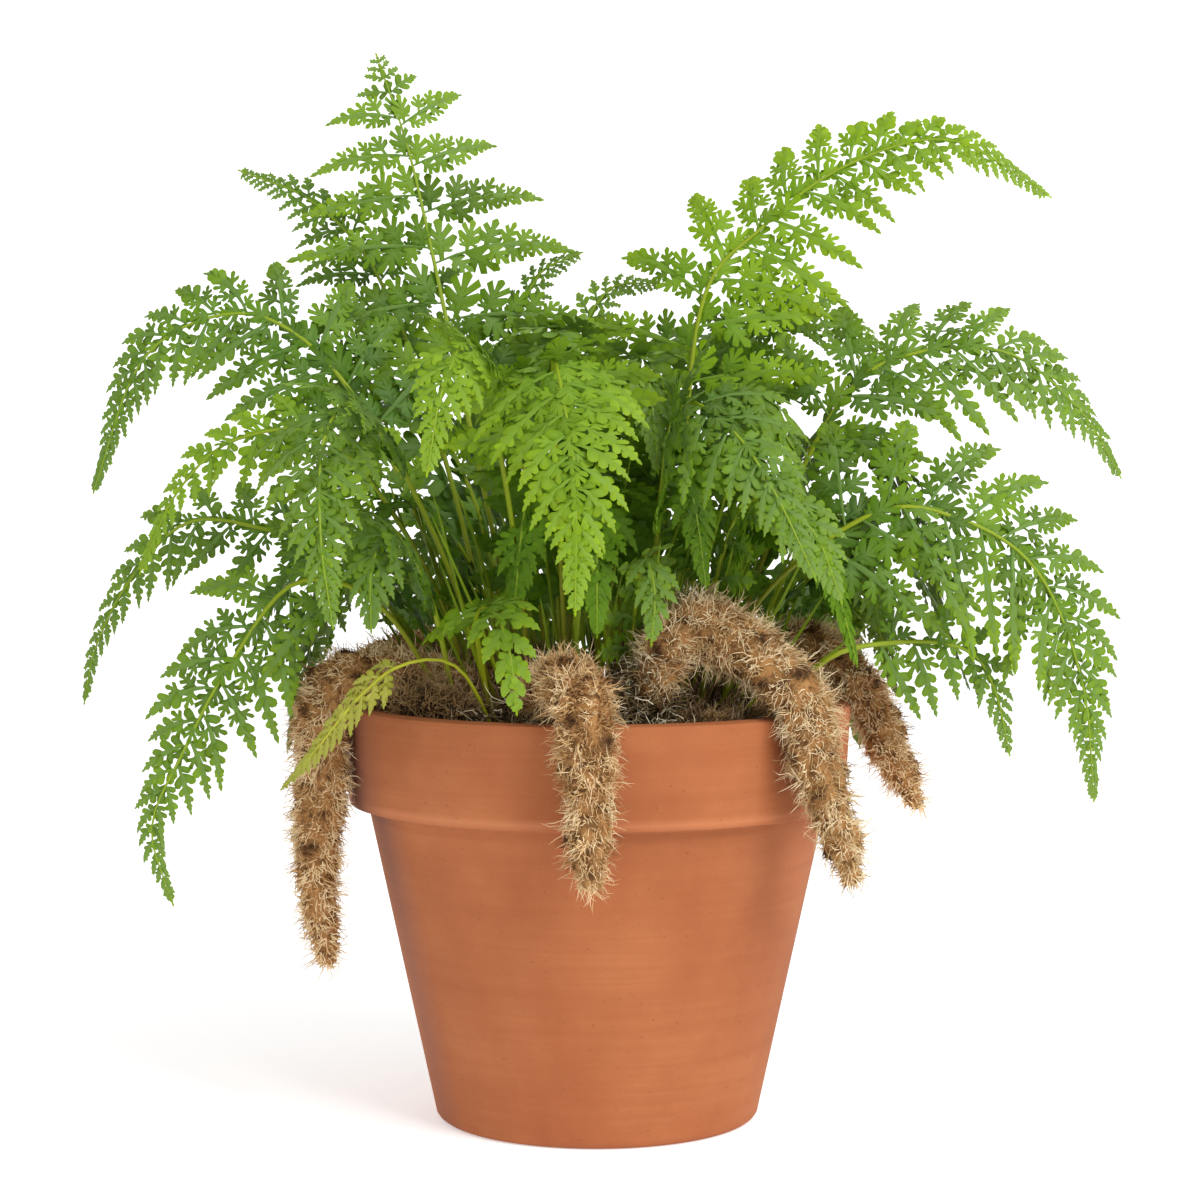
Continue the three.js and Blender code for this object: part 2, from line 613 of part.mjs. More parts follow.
function clashes(room, taken, frond) {
  return taken.some((other) => {
    if (other.stemOf === frond || !room.box.intersectsBox(other.box)) return false;
    const common = room.solid.intersect(other.solid);
    const empty = common.isEmpty();
    common.delete();
    return !empty;
  });
}

function layFrond(row) {
  const [x, y] = row.foot;
  const foot = vec(x, y, compostHeight(x, y) - ROOT_DEPTH);
  const rail = railThrough([foot, ...row.way.map((point) => vec(...point))]);
  const stations = stationsOf(row, rail);
  const distances = [...stations.stipe.slice(0, -1)];
  stations.right.forEach((distance, i) => distances.push(distance, stations.left[i]));
  distances.push(rail.length);
  const frames = framesAlong(rail, distances, row.face);
  frames.forEach((frame) => {
    frame.radius = rachisRadius(row, rail, frame.distance);
  });
  const bladeStart = stations.stipe.length - 1;
  const blade = frames.slice(bladeStart, -1);
  return {
    row,
    rail,
    stipe: frames.slice(0, bladeStart + 1),
    right: blade.filter((_, i) => i % 2 === 0),
    left: blade.filter((_, i) => i % 2 === 1),
    tip: frames.at(-1),
    leaflets: [],
  };
}

// The stipe as a square stem from one frame to the next, grown by some room all round.
function stemBetween(from, to, room) {
  const ring = (frame) => {
    const radius = frame.radius + room;
    return [
      cornerOf(frame, radius, 1, 1),
      cornerOf(frame, radius, -1, 1),
      cornerOf(frame, radius, -1, -1),
      cornerOf(frame, radius, 1, -1),
    ];
  };
  const start = from.point.clone().addScaledVector(from.along, -room);
  const rings = [ring({ ...from, point: start }), ring(to)].map((points) => points.reverse());
  return skinOver(rings, start, to.point);
}

function stemRooms(frond) {
  const frames = [...frond.stipe, ...frond.right.slice(1), frond.tip];
  const rooms = [];
  for (let i = 1; i < frames.length; i++) {
    rooms.push({ ...takenRoom(stemBetween(frames[i - 1], frames[i], LEAFLET_GAP)), stemOf: frond });
  }
  return rooms;
}

// Each leaflet takes the first bend, and then the first length, at which it lies clear of all the others.
function growLeaflets(frond, taken) {
  for (let index = 0; index < FROND_STATIONS - 1; index++) {
    for (const hand of [1, -1]) {
      const seat = leafletSeat(frond, hand, index);
      const tries = REACH_TRIES.flatMap((reach) => BEND_TRIES.map((bend) => ({ reach, bend })));
      for (const { reach, bend } of tries) {
        const room = leafletRoom(seat, bend, reach, hand);
        if (clashes(room, taken, frond)) {
          room.solid.delete();
          continue;
        }
        taken.push(room);
        frond.leaflets.push({ hand, index, points: leafletPoints(seat, bend, reach, BLADE_THICKNESS) });
        break;
      }
    }
  }
}

// A frond's skin: a square stem whose sides open into leaflets, and whose end is a point.
function frondGeometry(frond) {
  const skin = newSkin();
  const face = (a, b, c) => skin.faces.push(a, b, c);
  const edge = (frame, hand) => ({
    top: addPoint(skin, cornerOf(frame, frame.radius, hand, 1)),
    under: addPoint(skin, cornerOf(frame, frame.radius, hand, -1)),
  });
  const rings = frond.stipe.map((frame) => ({ right: edge(frame, 1), left: edge(frame, -1) }));
  const [foot] = rings;
  face(foot.right.top, foot.left.top, foot.left.under);
  face(foot.right.top, foot.left.under, foot.right.under);
  const rightWall = (a, b) => {
    face(a.under, b.under, b.top);
    face(a.under, b.top, a.top);
  };
  const leftWall = (a, b) => {
    face(a.under, b.top, b.under);
    face(a.under, a.top, b.top);
  };
  for (let i = 1; i < rings.length; i++) {
    const [a, b] = [rings[i - 1], rings[i]];
    rightWall(a.right, b.right);
    leftWall(a.left, b.left);
    face(a.right.top, b.right.top, b.left.top);
    face(a.right.top, b.left.top, a.left.top);
    face(a.right.under, b.left.under, b.right.under);
    face(a.right.under, a.left.under, b.left.under);
  }
  const last = rings.at(-1);
  const right = [last.right, ...frond.right.slice(1).map((frame) => edge(frame, 1))];
  const left = frond.left.map((frame) => edge(frame, -1));
  const tip = addPoint(skin, frond.tip.point);
  leftWall(last.left, left[0]);
  face(last.left.top, last.right.top, left[0].top);
  face(last.left.under, left[0].under, last.right.under);
  for (let i = 0; i < FROND_STATIONS - 1; i++) {
    face(right[i].top, right[i + 1].top, left[i].top);
    face(left[i].top, right[i + 1].top, left[i + 1].top);
    face(right[i].under, left[i].under, right[i + 1].under);
    face(left[i].under, left[i + 1].under, right[i + 1].under);
  }
  const [rightEnd, leftEnd] = [right.at(-1), left.at(-1)];
  face(rightEnd.top, tip, leftEnd.top);
  face(rightEnd.under, leftEnd.under, tip);
  face(rightEnd.under, tip, rightEnd.top);
  face(leftEnd.under, leftEnd.top, tip);
  for (const [hand, side, wall] of [[1, right, rightWall], [-1, left, leftWall]]) {
    for (let i = 0; i < FROND_STATIONS - 1; i++) {
      const leaflet = frond.leaflets.find((one) => one.hand === hand && one.index === i);
      if (!leaflet) {
        wall(side[i], side[i + 1]);
        continue;
      }
      const corners = {
        backTop: side[i].top,
        backUnder: side[i].under,
        frontTop: side[i + 1].top,
        frontUnder: side[i + 1].under,
      };
      growLeaflet(skin, corners, leaflet.points, hand);
    }
  }
  return geometryOf(skin);
}

function named(name, geometry, material) {
  const mesh = new THREE.Mesh(geometry, new THREE.MeshStandardMaterial({ metalness: 0, ...material }));
  mesh.name = name;
  return mesh;
}

const TERRACOTTA = { color: 0xc07046, roughness: 0.9 };
const COMPOST = { color: 0x2b2018, roughness: 1 };
const FUR = { color: 0xa8845a, roughness: 1 };

const fronds = [...SHOWN_FRONDS, ...CROWN_FRONDS.map(archedFrond)].map(layFrond);
const sockets = fronds.map((frond) =>
  takenRoom(stemBetween(frond.stipe[0], frond.stipe[1], SOCKET_GAP)),
);

function boxOf(solid) {
  const { min, max } = solid.boundingBox();
  return new THREE.Box3(vec(...min), vec(...max));
}

// A bed is what stipes stand in. Each stipe that meets it gets a plain hole.
function bedWithSockets(whole) {
  const box = boxOf(whole);
  let solid = whole;
  sockets
    .filter((socket) => socket.box.intersectsBox(box))
    .forEach((socket) => {
      solid = solid.subtract(socket.solid);
    });
  return { box, solid: largestBody(solid) };
}

const pot = potGeometry();
const potSolid = solidOf(pot);
const compostSolid = solidOf(compostGeometry());
const compost = bedWithSockets(compostSolid);
const rhizomes = RHIZOMES.map((row) => {
  const resting = seated(solidOf(rhizomeGeometry(row)), [potSolid, compostSolid]);
  return { name: row.name, ...bedWithSockets(resting) };
});
const taken = [{ box: boxOf(potSolid), solid: potSolid }, compost, ...rhizomes];
fronds.forEach((frond) => taken.push(...stemRooms(frond)));
fronds.forEach((frond) => growLeaflets(frond, taken));

const group = new THREE.Group();
group.add(named("pot", pot, TERRACOTTA));
group.add(named("compost", geometryFromSolid(compost.solid), COMPOST));
rhizomes.forEach((rhizome) => group.add(named(rhizome.name, geometryFromSolid(rhizome.solid), FUR)));
fronds.forEach((frond, i) => {
  const name = "frond_" + String(i + 1).padStart(2, "0");
  group.add(named(name, frondGeometry(frond), { color: GREENS[frond.row.tint], roughness: 0.6 }));
});

export default group;
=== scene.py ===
# A rabbit's foot fern in a terracotta pot: a thrown clay pot, the compost in it, furry rhizomes that creep over
# the compost and hang over the rim, and lacy fronds on wiry stipes. Built piece by piece round the packed
# solids, in metres, with the middle of the pot's foot at the origin and the photograph's side towards -Y.
import math
import bpy
import numpy as np
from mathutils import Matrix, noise


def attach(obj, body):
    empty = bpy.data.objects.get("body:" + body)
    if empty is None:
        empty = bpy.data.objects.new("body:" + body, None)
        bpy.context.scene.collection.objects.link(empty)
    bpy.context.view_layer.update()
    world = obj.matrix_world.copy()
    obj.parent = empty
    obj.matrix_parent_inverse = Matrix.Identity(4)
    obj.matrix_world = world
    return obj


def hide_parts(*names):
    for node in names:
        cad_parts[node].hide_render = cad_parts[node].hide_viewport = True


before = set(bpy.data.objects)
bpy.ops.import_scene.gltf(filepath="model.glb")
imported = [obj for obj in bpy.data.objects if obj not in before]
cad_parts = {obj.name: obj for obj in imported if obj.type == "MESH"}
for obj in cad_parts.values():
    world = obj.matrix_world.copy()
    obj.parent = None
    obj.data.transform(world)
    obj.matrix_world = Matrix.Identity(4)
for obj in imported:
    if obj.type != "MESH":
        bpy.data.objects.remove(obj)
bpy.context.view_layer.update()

# The studio: a white floor that curves up behind the plant, a big soft lamp on the right in front, a weaker
# one on the left, and a pale sky. The camera stands level with the rhizomes, 0.92 m in front of the pot.
FLOOR_SIZE = 6.0
FLOOR_GLOW = 0.36
SKY_STRENGTH = 0.62
LAMPS_AIM = (0, 0, 0.17)
CAMERA_PLACE = (0.0, -0.920, 0.214)
CAMERA_SHIFT = (0.0025, -0.1367)
LENS_LENGTH = 87.12


def bare_selection():
    if bpy.context.object and bpy.context.object.mode != "OBJECT":
        bpy.ops.object.mode_set(mode="OBJECT")
    bpy.ops.object.select_all(action="DESELECT")


def paint(red, green, blue):
    """A colour as it is seen on a screen, each part from 0 to 255, as Blender's shaders need it."""
    shares = [part / 255 for part in (red, green, blue)]
    return (*[s / 12.92 if s <= 0.04045 else ((s + 0.055) / 1.055) ** 2.4 for s in shares], 1.0)


def new_finish(name):
    finish = bpy.data.materials.new(name)
    finish.use_nodes = True
    return finish, finish.node_tree, finish.node_tree.nodes["Principled BSDF"]


bare_selection()
bpy.ops.mesh.primitive_plane_add(size=FLOOR_SIZE, location=(0, 0, 0))
floor = bpy.context.object
floor.name = "studio_floor"
bpy.ops.object.mode_set(mode="EDIT")
bpy.ops.mesh.select_mode(type="EDGE")
bpy.ops.mesh.select_all(action="DESELECT")
bpy.ops.object.mode_set(mode="OBJECT")
for edge in floor.data.edges:
    edge.select = all(floor.data.vertices[v].co.y > 0 for v in edge.vertices)
bpy.ops.object.mode_set(mode="EDIT")
bpy.ops.mesh.extrude_region_move(TRANSFORM_OT_translate={"value": (0, 0, FLOOR_SIZE / 2)})
bpy.ops.object.mode_set(mode="OBJECT")
floor_finish, tree, shader = new_finish("studio_white")
shader.inputs["Base Color"].default_value = (0.93, 0.93, 0.93, 1)
shader.inputs["Roughness"].default_value = 0.9
shader.inputs["Specular IOR Level"].default_value = 0.1
shader.inputs["Emission Color"].default_value = (1, 1, 1, 1)
shader.inputs["Emission Strength"].default_value = FLOOR_GLOW
floor.data.materials.append(floor_finish)

sky = bpy.data.worlds.new("studio_sky")
sky.use_nodes = True
background = sky.node_tree.nodes["Background"]
background.inputs["Color"].default_value = (1, 1, 1, 1)
background.inputs["Strength"].default_value = SKY_STRENGTH
bpy.context.scene.world = sky


def hang_lamp(name, place, size, power):
    bpy.ops.object.light_add(type="AREA", location=place)
    lamp = bpy.context.object
    lamp.name = name
    lamp.data.size = size
    lamp.data.energy = power
    toward = [a - p for a, p in zip(LAMPS_AIM, place)]
    level = math.hypot(toward[0], toward[1])
    lamp.rotation_euler = (math.atan2(level, -toward[2]), 0, math.atan2(toward[1], toward[0]) - math.pi / 2)


hang_lamp("key_lamp", (0.95, -1.05, 1.25), 1.0, 28)
hang_lamp("fill_lamp", (-1.3, -1.0, 0.7), 1.4, 5)

bpy.ops.object.camera_add(location=CAMERA_PLACE, rotation=(math.pi / 2, 0, 0))
camera = bpy.context.object
camera.data.lens = LENS_LENGTH
camera.data.sensor_width = 36
camera.data.shift_x, camera.data.shift_y = CAMERA_SHIFT
camera.data.clip_start = 0.01
bpy.context.scene.camera = camera
bpy.context.scene.view_settings.view_transform = "Standard"

# The pot: red earthenware thrown on a wheel and fired without glaze, with a deep collar, a rounded foot and a
# drain hole. It is a line of corners drawn by extruding one point, then spun round the middle.
MM = 0.001
POT_HEIGHT = 130
RIM_RADIUS = 80
RIM_INNER_RADIUS = 72.5
COLLAR_FOOT = 98.5
COLLAR_RADIUS = 78.3
NECK_RADIUS = 72.0
FOOT_RADIUS = 51
FOOT_ROUNDING = 3
EDGE_ROUNDING = 1.2
FLOOR_THICKNESS = 9
FLOOR_INNER_RADIUS = 44
DRAIN_RADIUS = 8
POT_STEPS = 144
# Where a painted highlight lightens the collar's lower edge, and the bearing round the pot at which painted shade
# greys the clay on its left side.
HIGHLIGHT_EDGE_HEIGHT = 100.6
SHADE_BEARING = -2.74

pot_corners = [
    (FOOT_RADIUS - FOOT_ROUNDING, 0),
    (FOOT_RADIUS - 0.62 * FOOT_ROUNDING, 0.08 * FOOT_ROUNDING),
    (FOOT_RADIUS - 0.3 * FOOT_ROUNDING, 0.3 * FOOT_ROUNDING),
    (FOOT_RADIUS - 0.08 * FOOT_ROUNDING, 0.62 * FOOT_ROUNDING),
    (FOOT_RADIUS, FOOT_ROUNDING),
    (NECK_RADIUS, COLLAR_FOOT - EDGE_ROUNDING),
    (NECK_RADIUS + 0.35 * EDGE_ROUNDING, COLLAR_FOOT - 0.35 * EDGE_ROUNDING),
    (NECK_RADIUS + EDGE_ROUNDING, COLLAR_FOOT),
    (COLLAR_RADIUS - 1.6 * EDGE_ROUNDING, COLLAR_FOOT),
    (COLLAR_RADIUS - 0.4 * EDGE_ROUNDING, COLLAR_FOOT + 0.4 * EDGE_ROUNDING),
    (COLLAR_RADIUS, COLLAR_FOOT + 1.6 * EDGE_ROUNDING),
    (RIM_RADIUS, POT_HEIGHT - 1.5 * EDGE_ROUNDING),
    (RIM_RADIUS - 0.35 * EDGE_ROUNDING, POT_HEIGHT - 0.4 * EDGE_ROUNDING),
    (RIM_RADIUS - 1.5 * EDGE_ROUNDING, POT_HEIGHT),
    (RIM_INNER_RADIUS + 1.5 * EDGE_ROUNDING, POT_HEIGHT),
    (RIM_INNER_RADIUS + 0.35 * EDGE_ROUNDING, POT_HEIGHT - 0.4 * EDGE_ROUNDING),
    (RIM_INNER_RADIUS, POT_HEIGHT - 1.5 * EDGE_ROUNDING),
    (FLOOR_INNER_RADIUS, FLOOR_THICKNESS),
    (DRAIN_RADIUS, FLOOR_THICKNESS),
    (DRAIN_RADIUS, 0),
]

bare_selection()
bpy.ops.mesh.primitive_plane_add(size=0.001, location=(pot_corners[0][0] * MM, 0, 0))
pot = bpy.context.object
pot.name = "clay_pot"
bpy.ops.object.transform_apply(location=True)
bpy.ops.object.mode_set(mode="EDIT")
bpy.ops.mesh.select_mode(type="VERT")
bpy.ops.mesh.select_all(action="SELECT")
bpy.ops.mesh.merge(type="CENTER")
for (r0, z0), (r1, z1) in zip(pot_corners, pot_corners[1:] + pot_corners[:1]):
    bpy.ops.mesh.extrude_region_move(
        TRANSFORM_OT_translate={"value": ((r1 - r0) * MM, 0, (z1 - z0) * MM)})
bpy.ops.mesh.select_all(action="SELECT")
bpy.ops.mesh.remove_doubles(threshold=1e-6)
bpy.ops.mesh.select_all(action="SELECT")
bpy.ops.mesh.spin(steps=POT_STEPS, angle=2 * math.pi, center=(0, 0, 0), axis=(0, 0, 1))
bpy.ops.mesh.select_all(action="SELECT")
bpy.ops.mesh.remove_doubles(threshold=1e-6)
bpy.ops.mesh.normals_make_consistent(inside=False)
bpy.ops.object.mode_set(mode="OBJECT")
bpy.ops.object.shade_smooth_by_angle(angle=math.radians(50))


def add_node(tree, kind, **values):
    """A shader node with the values of its unlinked sockets, such as Scale=40."""
    node = tree.nodes.new(kind)
    for name, value in values.items():
        node.inputs[name.replace("_", " ")].default_value = value
    return node


def stretched(tree, scale):
    """The piece's own coordinates, stretched by a factor along each axis."""
    coordinates = tree.nodes.new("ShaderNodeTexCoord")
    mapping = add_node(tree, "ShaderNodeMapping", Scale=scale)
    tree.links.new(coordinates.outputs["Object"], mapping.inputs["Vector"])
    return mapping.outputs["Vector"]


def cloudy(tree, scale, detail=3.0, roughness=0.55, stretch=(1, 1, 1)):
    """Noise whose grains are about 1/scale metres across."""
    grain = add_node(tree, "ShaderNodeTexNoise", Scale=scale, Detail=detail, Roughness=roughness)
    tree.links.new(stretched(tree, stretch), grain.inputs["Vector"])
    return grain.outputs["Fac"]


def banded(tree, source, stops):
    """A colour for each stop, a share from 0 to 1, blended along source."""
    ramp = tree.nodes.new("ShaderNodeValToRGB")
    while len(ramp.color_ramp.elements) < len(stops):
        ramp.color_ramp.elements.new(0.5)
    for element, (place, colour) in zip(ramp.color_ramp.elements, stops):
        element.position = place
        element.color = colour
    tree.links.new(source, ramp.inputs["Fac"])
    return ramp.outputs["Color"]


def worked_out(tree, operation, *sources):
    """A Math node over sockets and numbers."""
    node = tree.nodes.new("ShaderNodeMath")
    node.operation = operation
    node.use_clamp = operation in ("MULTIPLY_ADD", "ADD")
    for socket, source in zip(node.inputs, sources):
        if isinstance(source, (int, float)):
            socket.default_value = source
        else:
            tree.links.new(source, socket)
    return node.outputs["Value"]


def scaled(tree, source, factor, shift):
    """A socket times a factor, plus a shift, kept between 0 and 1."""
    return worked_out(tree, "MULTIPLY_ADD", source, factor, shift)


def blended(tree, share, under, over):
    """Two colours mixed by share, each a socket or a colour."""
    node = tree.nodes.new("ShaderNodeMix")
    node.data_type = "RGBA"
    for name, source in (("Factor", share), ("A", under), ("B", over)):
        socket = next(s for s in node.inputs if s.name == name and s.enabled)
        if isinstance(source, (int, float, tuple)):
            socket.default_value = source
        else:
            tree.links.new(source, socket)
    return next(s for s in node.outputs if s.enabled)


def painted(tree, shader, colour, roughness, specular=0.5):
    tree.links.new(colour, shader.inputs["Base Color"])
    shader.inputs["Roughness"].default_value = roughness
    shader.inputs["Specular IOR Level"].default_value = specular


def raised(tree, shader, height, distance, strength=1.0):
    """Bump from a height between 0 and 1."""
    bump = add_node(tree, "ShaderNodeBump", Distance=distance, Strength=strength)
    tree.links.new(height, bump.inputs["Height"])
    tree.links.new(bump.outputs["Normal"], shader.inputs["Normal"])


clay, tree, shader = new_finish("terracotta")
wheel_marks = cloudy(tree, 1.0, 3.0, 0.6, (9, 9, 330))
blotches = cloudy(tree, 26, 4.0, 0.6)
grit = cloudy(tree, 900, 2.0, 0.6)
body = banded(tree, blotches, [(0.3, paint(153, 86, 49)), (0.5, paint(163, 96, 57)), (0.72, paint(172, 106, 66))])
streaked = blended(tree, scaled(tree, wheel_marks, 1.3, -0.5), body, paint(152, 84, 48))
speckled = blended(tree, scaled(tree, grit, 5.0, -3.5), streaked, paint(184, 124, 86))
dark_grit = cloudy(tree, 620, 2.0, 0.6, (1, 1, 1.4))
pitted = blended(tree, scaled(tree, dark_grit, 7.0, -4.6), speckled, paint(128, 74, 46))
place = tree.nodes.new("ShaderNodeSeparateXYZ")
tree.links.new(stretched(tree, (1, 1, 1)), place.inputs["Vector"])
# Painted highlight: a thin lighter band of clay colour along the collar's rounded lower edge, where the light
# catches it.
from_edge = worked_out(tree, "ABSOLUTE", worked_out(tree, "SUBTRACT", place.outputs["Z"], HIGHLIGHT_EDGE_HEIGHT * MM))
painted_highlight = worked_out(tree, "MULTIPLY", scaled(tree, from_edge, -500.0, 1.0), 0.38)
highlighted_clay = blended(tree, painted_highlight, pitted, paint(204, 132, 92))
# Painted shade: a blotchy mauve-grey band of clay colour round the pot's left side, where it turns away from the
# light.
bearing = worked_out(tree, "ARCTAN2", place.outputs["Y"], place.outputs["X"])
from_shade_bearing = worked_out(tree, "ABSOLUTE", worked_out(tree, "SUBTRACT", bearing, SHADE_BEARING))
painted_shade = worked_out(tree, "MULTIPLY", scaled(tree, from_shade_bearing, -4.0, 1.0), scaled(tree, blotches, 1.2, -0.1))
shaded_clay = blended(tree, painted_shade, highlighted_clay, paint(120, 82, 72))
tree.links.new(shaded_clay, shader.inputs["Base Color"])
tree.links.new(scaled(tree, blotches, 0.2, 0.72), shader.inputs["Roughness"])
shader.inputs["Specular IOR Level"].default_value = 0.25
relief = worked_out(tree, "ADD", worked_out(tree, "MULTIPLY", wheel_marks, 0.7),
                    worked_out(tree, "MULTIPLY", grit, 0.25))
raised(tree, shader, relief, 0.0005, 0.6)
pot.data.materials.append(clay)
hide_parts("pot")
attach(pot, "root")

# The compost: dark peat and bark, heaped a little in the middle and lumpy on top. A disc of rings is extruded
# up from the pot's floor, its top is raised into lumps, and chips of bark lie on it.
COMPOST_EDGE = 119
COMPOST_CROWN = 5
COMPOST_RELIEF = 1.2
COMPOST_RINGS = 22
CLAY_GAP = 0.3


def compost_radius(z):
    share = (z - FLOOR_THICKNESS) / (POT_HEIGHT - EDGE_ROUNDING - FLOOR_THICKNESS)
    clay_radius = FLOOR_INNER_RADIUS + (RIM_INNER_RADIUS - FLOOR_INNER_RADIUS) * share
    return clay_radius * math.cos(math.pi / 36) - CLAY_GAP


def compost_height(x, y):
    out = min(1.0, math.hypot(x, y) / compost_radius(COMPOST_EDGE))
    crown = COMPOST_CROWN * (1 - out * out)
    lumps = math.sin(0.21 * x + 0.4) * math.sin(0.19 * y) + 0.6 * math.sin(0.11 * (x + 2 * y))
    return COMPOST_EDGE + crown + COMPOST_RELIEF * lumps * (1 - out ** 4)


bare_selection()
bottom = FLOOR_THICKNESS + CLAY_GAP
bpy.ops.mesh.primitive_circle_add(vertices=72, radius=compost_radius(bottom) * MM, fill_type="NGON")
compost = bpy.context.object
compost.name = "compost_fill"
bpy.ops.transform.translate(value=(0, 0, bottom * MM))
bpy.ops.object.transform_apply(location=True)
bpy.ops.object.mode_set(mode="EDIT")
bpy.ops.mesh.select_all(action="SELECT")
grown = compost_radius(COMPOST_EDGE) / compost_radius(bottom)
bpy.ops.mesh.extrude_region_move(TRANSFORM_OT_translate={"value": (0, 0, (COMPOST_EDGE - bottom) * MM)})
bpy.ops.transform.resize(value=(grown, grown, 1), center_override=(0, 0, 0))
for ring in range(COMPOST_RINGS):
    bpy.ops.mesh.inset(thickness=compost_radius(COMPOST_EDGE) / (COMPOST_RINGS + 1) * MM)
bpy.ops.mesh.poke()
bpy.ops.mesh.select_all(action="SELECT")
bpy.ops.mesh.normals_make_consistent(inside=False)
bpy.ops.object.mode_set(mode="OBJECT")
for vertex in compost.data.vertices:
    x, y, z = vertex.co / MM
    if z > COMPOST_EDGE - 1:
        crumbs = noise.noise((x * 0.35, y * 0.35, 1.0)) * 1.1 + noise.noise((x * 0.9, y * 0.9, 7.0)) * 0.9
        inwards = 1 - min(1.0, math.hypot(x, y) / compost_radius(COMPOST_EDGE)) ** 8
        vertex.co.z = (compost_height(x, y) + crumbs * inwards) * MM
bpy.ops.object.shade_smooth_by_angle(angle=math.radians(60))

peat, tree, shader = new_finish("compost")
lumps = cloudy(tree, 300, 4.0, 0.65)
fibres = cloudy(tree, 160, 2.0, 0.5, (1, 6, 1))
soil = banded(tree, lumps, [(0.35, paint(22, 15, 9)), (0.55, paint(46, 33, 21)), (0.7, paint(84, 64, 43))])
soil = blended(tree, scaled(tree, fibres, 5.0, -3.1), soil, paint(120, 98, 66))
painted(tree, shader, soil, 0.95, 0.15)
raised(tree, shader, lumps, 0.0015, 1.0)
compost.data.materials.append(peat)
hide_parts("compost")
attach(compost, "root")


def new_piece(name, points, faces, finishes, marks, finish_of=None, smooth_angle=50):
    """A mesh piece from triangles over points in millimetres. marks holds three values for each point, which
    its finish reads as the attribute growth."""
    mesh = bpy.data.meshes.new(name)
    mesh.vertices.add(len(points))
    mesh.vertices.foreach_set("co", (np.asarray(points) * MM).astype(np.float32).ravel())
    mesh.loops.add(3 * len(faces))
    mesh.loops.foreach_set("vertex_index", np.asarray(faces, dtype=np.int32).ravel())
    mesh.polygons.add(len(faces))
    mesh.polygons.foreach_set("loop_start", np.arange(0, 3 * len(faces), 3, dtype=np.int32))
    if finish_of is not None:
        mesh.polygons.foreach_set("material_index", np.asarray(finish_of, dtype=np.int32))
    layer = mesh.attributes.new("growth", "FLOAT_VECTOR", "POINT")
    layer.data.foreach_set("vector", np.asarray(marks, dtype=np.float32).ravel())
    mesh.polygons.foreach_set("use_smooth", np.ones(len(faces), dtype=bool))
    mesh.update(calc_edges=True)
    mesh.set_sharp_from_angle(angle=math.radians(smooth_angle))
    for finish in finishes:
        mesh.materials.append(finish)
    piece = bpy.data.objects.new(name, mesh)
    bpy.context.collection.objects.link(piece)
    return piece


def arrays_of(piece):
    """A piece's points in millimetres and its faces, all triangles, as numbers."""
    points = np.empty(3 * len(piece.data.vertices), dtype=np.float32)
    piece.data.vertices.foreach_get("co", points)
    faces = np.empty(3 * len(piece.data.polygons), dtype=np.int32)
    piece.data.loops.foreach_get("vertex_index", faces)
    return points.reshape(-1, 3).astype(float) / MM, faces.reshape(-1, 3)


def growth_marks(tree):
    """The three values that a piece's points carry, as sockets."""
    mark = tree.nodes.new("ShaderNodeAttribute")
    mark.attribute_name = "growth"
    parts = tree.nodes.new("ShaderNodeSeparateXYZ")
    tree.links.new(mark.outputs["Vector"], parts.inputs["Vector"])
    return parts.outputs["X"], parts.outputs["Y"], parts.outputs["Z"]


def length_of(vectors):
    return np.linalg.norm(vectors, axis=-1, keepdims=True)


def unit(vectors):
    vectors = np.asarray(vectors, dtype=float)
    return vectors / np.maximum(length_of(vectors), 1e-9)


# Chips of bark in the compost's top: one chip is a cube whose corners are cut, and the rest are copies of it.
CHIP_COUNT = 260
CHIP_MARGIN = 5
CHIP_LIFT = 0.6

bare_selection()
bpy.ops.mesh.primitive_cube_add(size=1)
chip = bpy.context.object
bpy.ops.object.mode_set(mode="EDIT")
bpy.ops.mesh.select_all(action="SELECT")
for cut_place, cut_way in (((0.32, 0, 0.1), (1, 0.5, 0.6)), ((-0.3, 0.1, 0), (-1, 0.7, 0.2)),
                           ((0, -0.3, 0.2), (0.1, -1, 0.9))):
    bpy.ops.mesh.bisect(plane_co=cut_place, plane_no=cut_way, use_fill=True, clear_outer=True)
    bpy.ops.mesh.select_all(action="SELECT")
bpy.ops.mesh.quads_convert_to_tris()
bpy.ops.object.mode_set(mode="OBJECT")
chip_points, chip_faces = arrays_of(chip)
chip_points *= MM
bpy.data.objects.remove(chip)

draw = np.random.default_rng(11)
points, faces, marks = [], [], []
for number in range(CHIP_COUNT):
    turn = draw.uniform(0, 2 * math.pi)
    out = math.sqrt(draw.uniform(0, 1)) * (compost_radius(COMPOST_EDGE) - CHIP_MARGIN)
    x, y = out * math.cos(turn), out * math.sin(turn)
    size = np.array([draw.uniform(2.5, 7), draw.uniform(2, 4), draw.uniform(0.8, 2)])
    axes = unit(draw.normal(size=(3, 3)) * [1, 1, 0.3])
    long_way = unit(axes[0])
    flat = unit(np.cross(long_way, axes[1]))
    cross_way = np.cross(flat, long_way)
    shaped = chip_points * size
    shaped = shaped[:, :1] * long_way + shaped[:, 1:2] * cross_way + shaped[:, 2:] * flat
    points.append(shaped + [x, y, compost_height(x, y) + CHIP_LIFT])
    faces.append(chip_faces + len(chip_points) * number)
    marks.append(np.tile([draw.uniform(), 0, draw.uniform()], (len(chip_points), 1)))
bark, tree, shader = new_finish("bark")
tone, _, _ = growth_marks(tree)
grain = cloudy(tree, 420, 3.0, 0.6, (1, 3, 1))
shade = scaled(tree, grain, 0.6, worked_out(tree, "MULTIPLY", tone, 0.5))
bark_colour = banded(tree, shade, [(0.2, paint(30, 19, 11)), (0.5, paint(66, 45, 28)), (0.8, paint(122, 92, 60))])
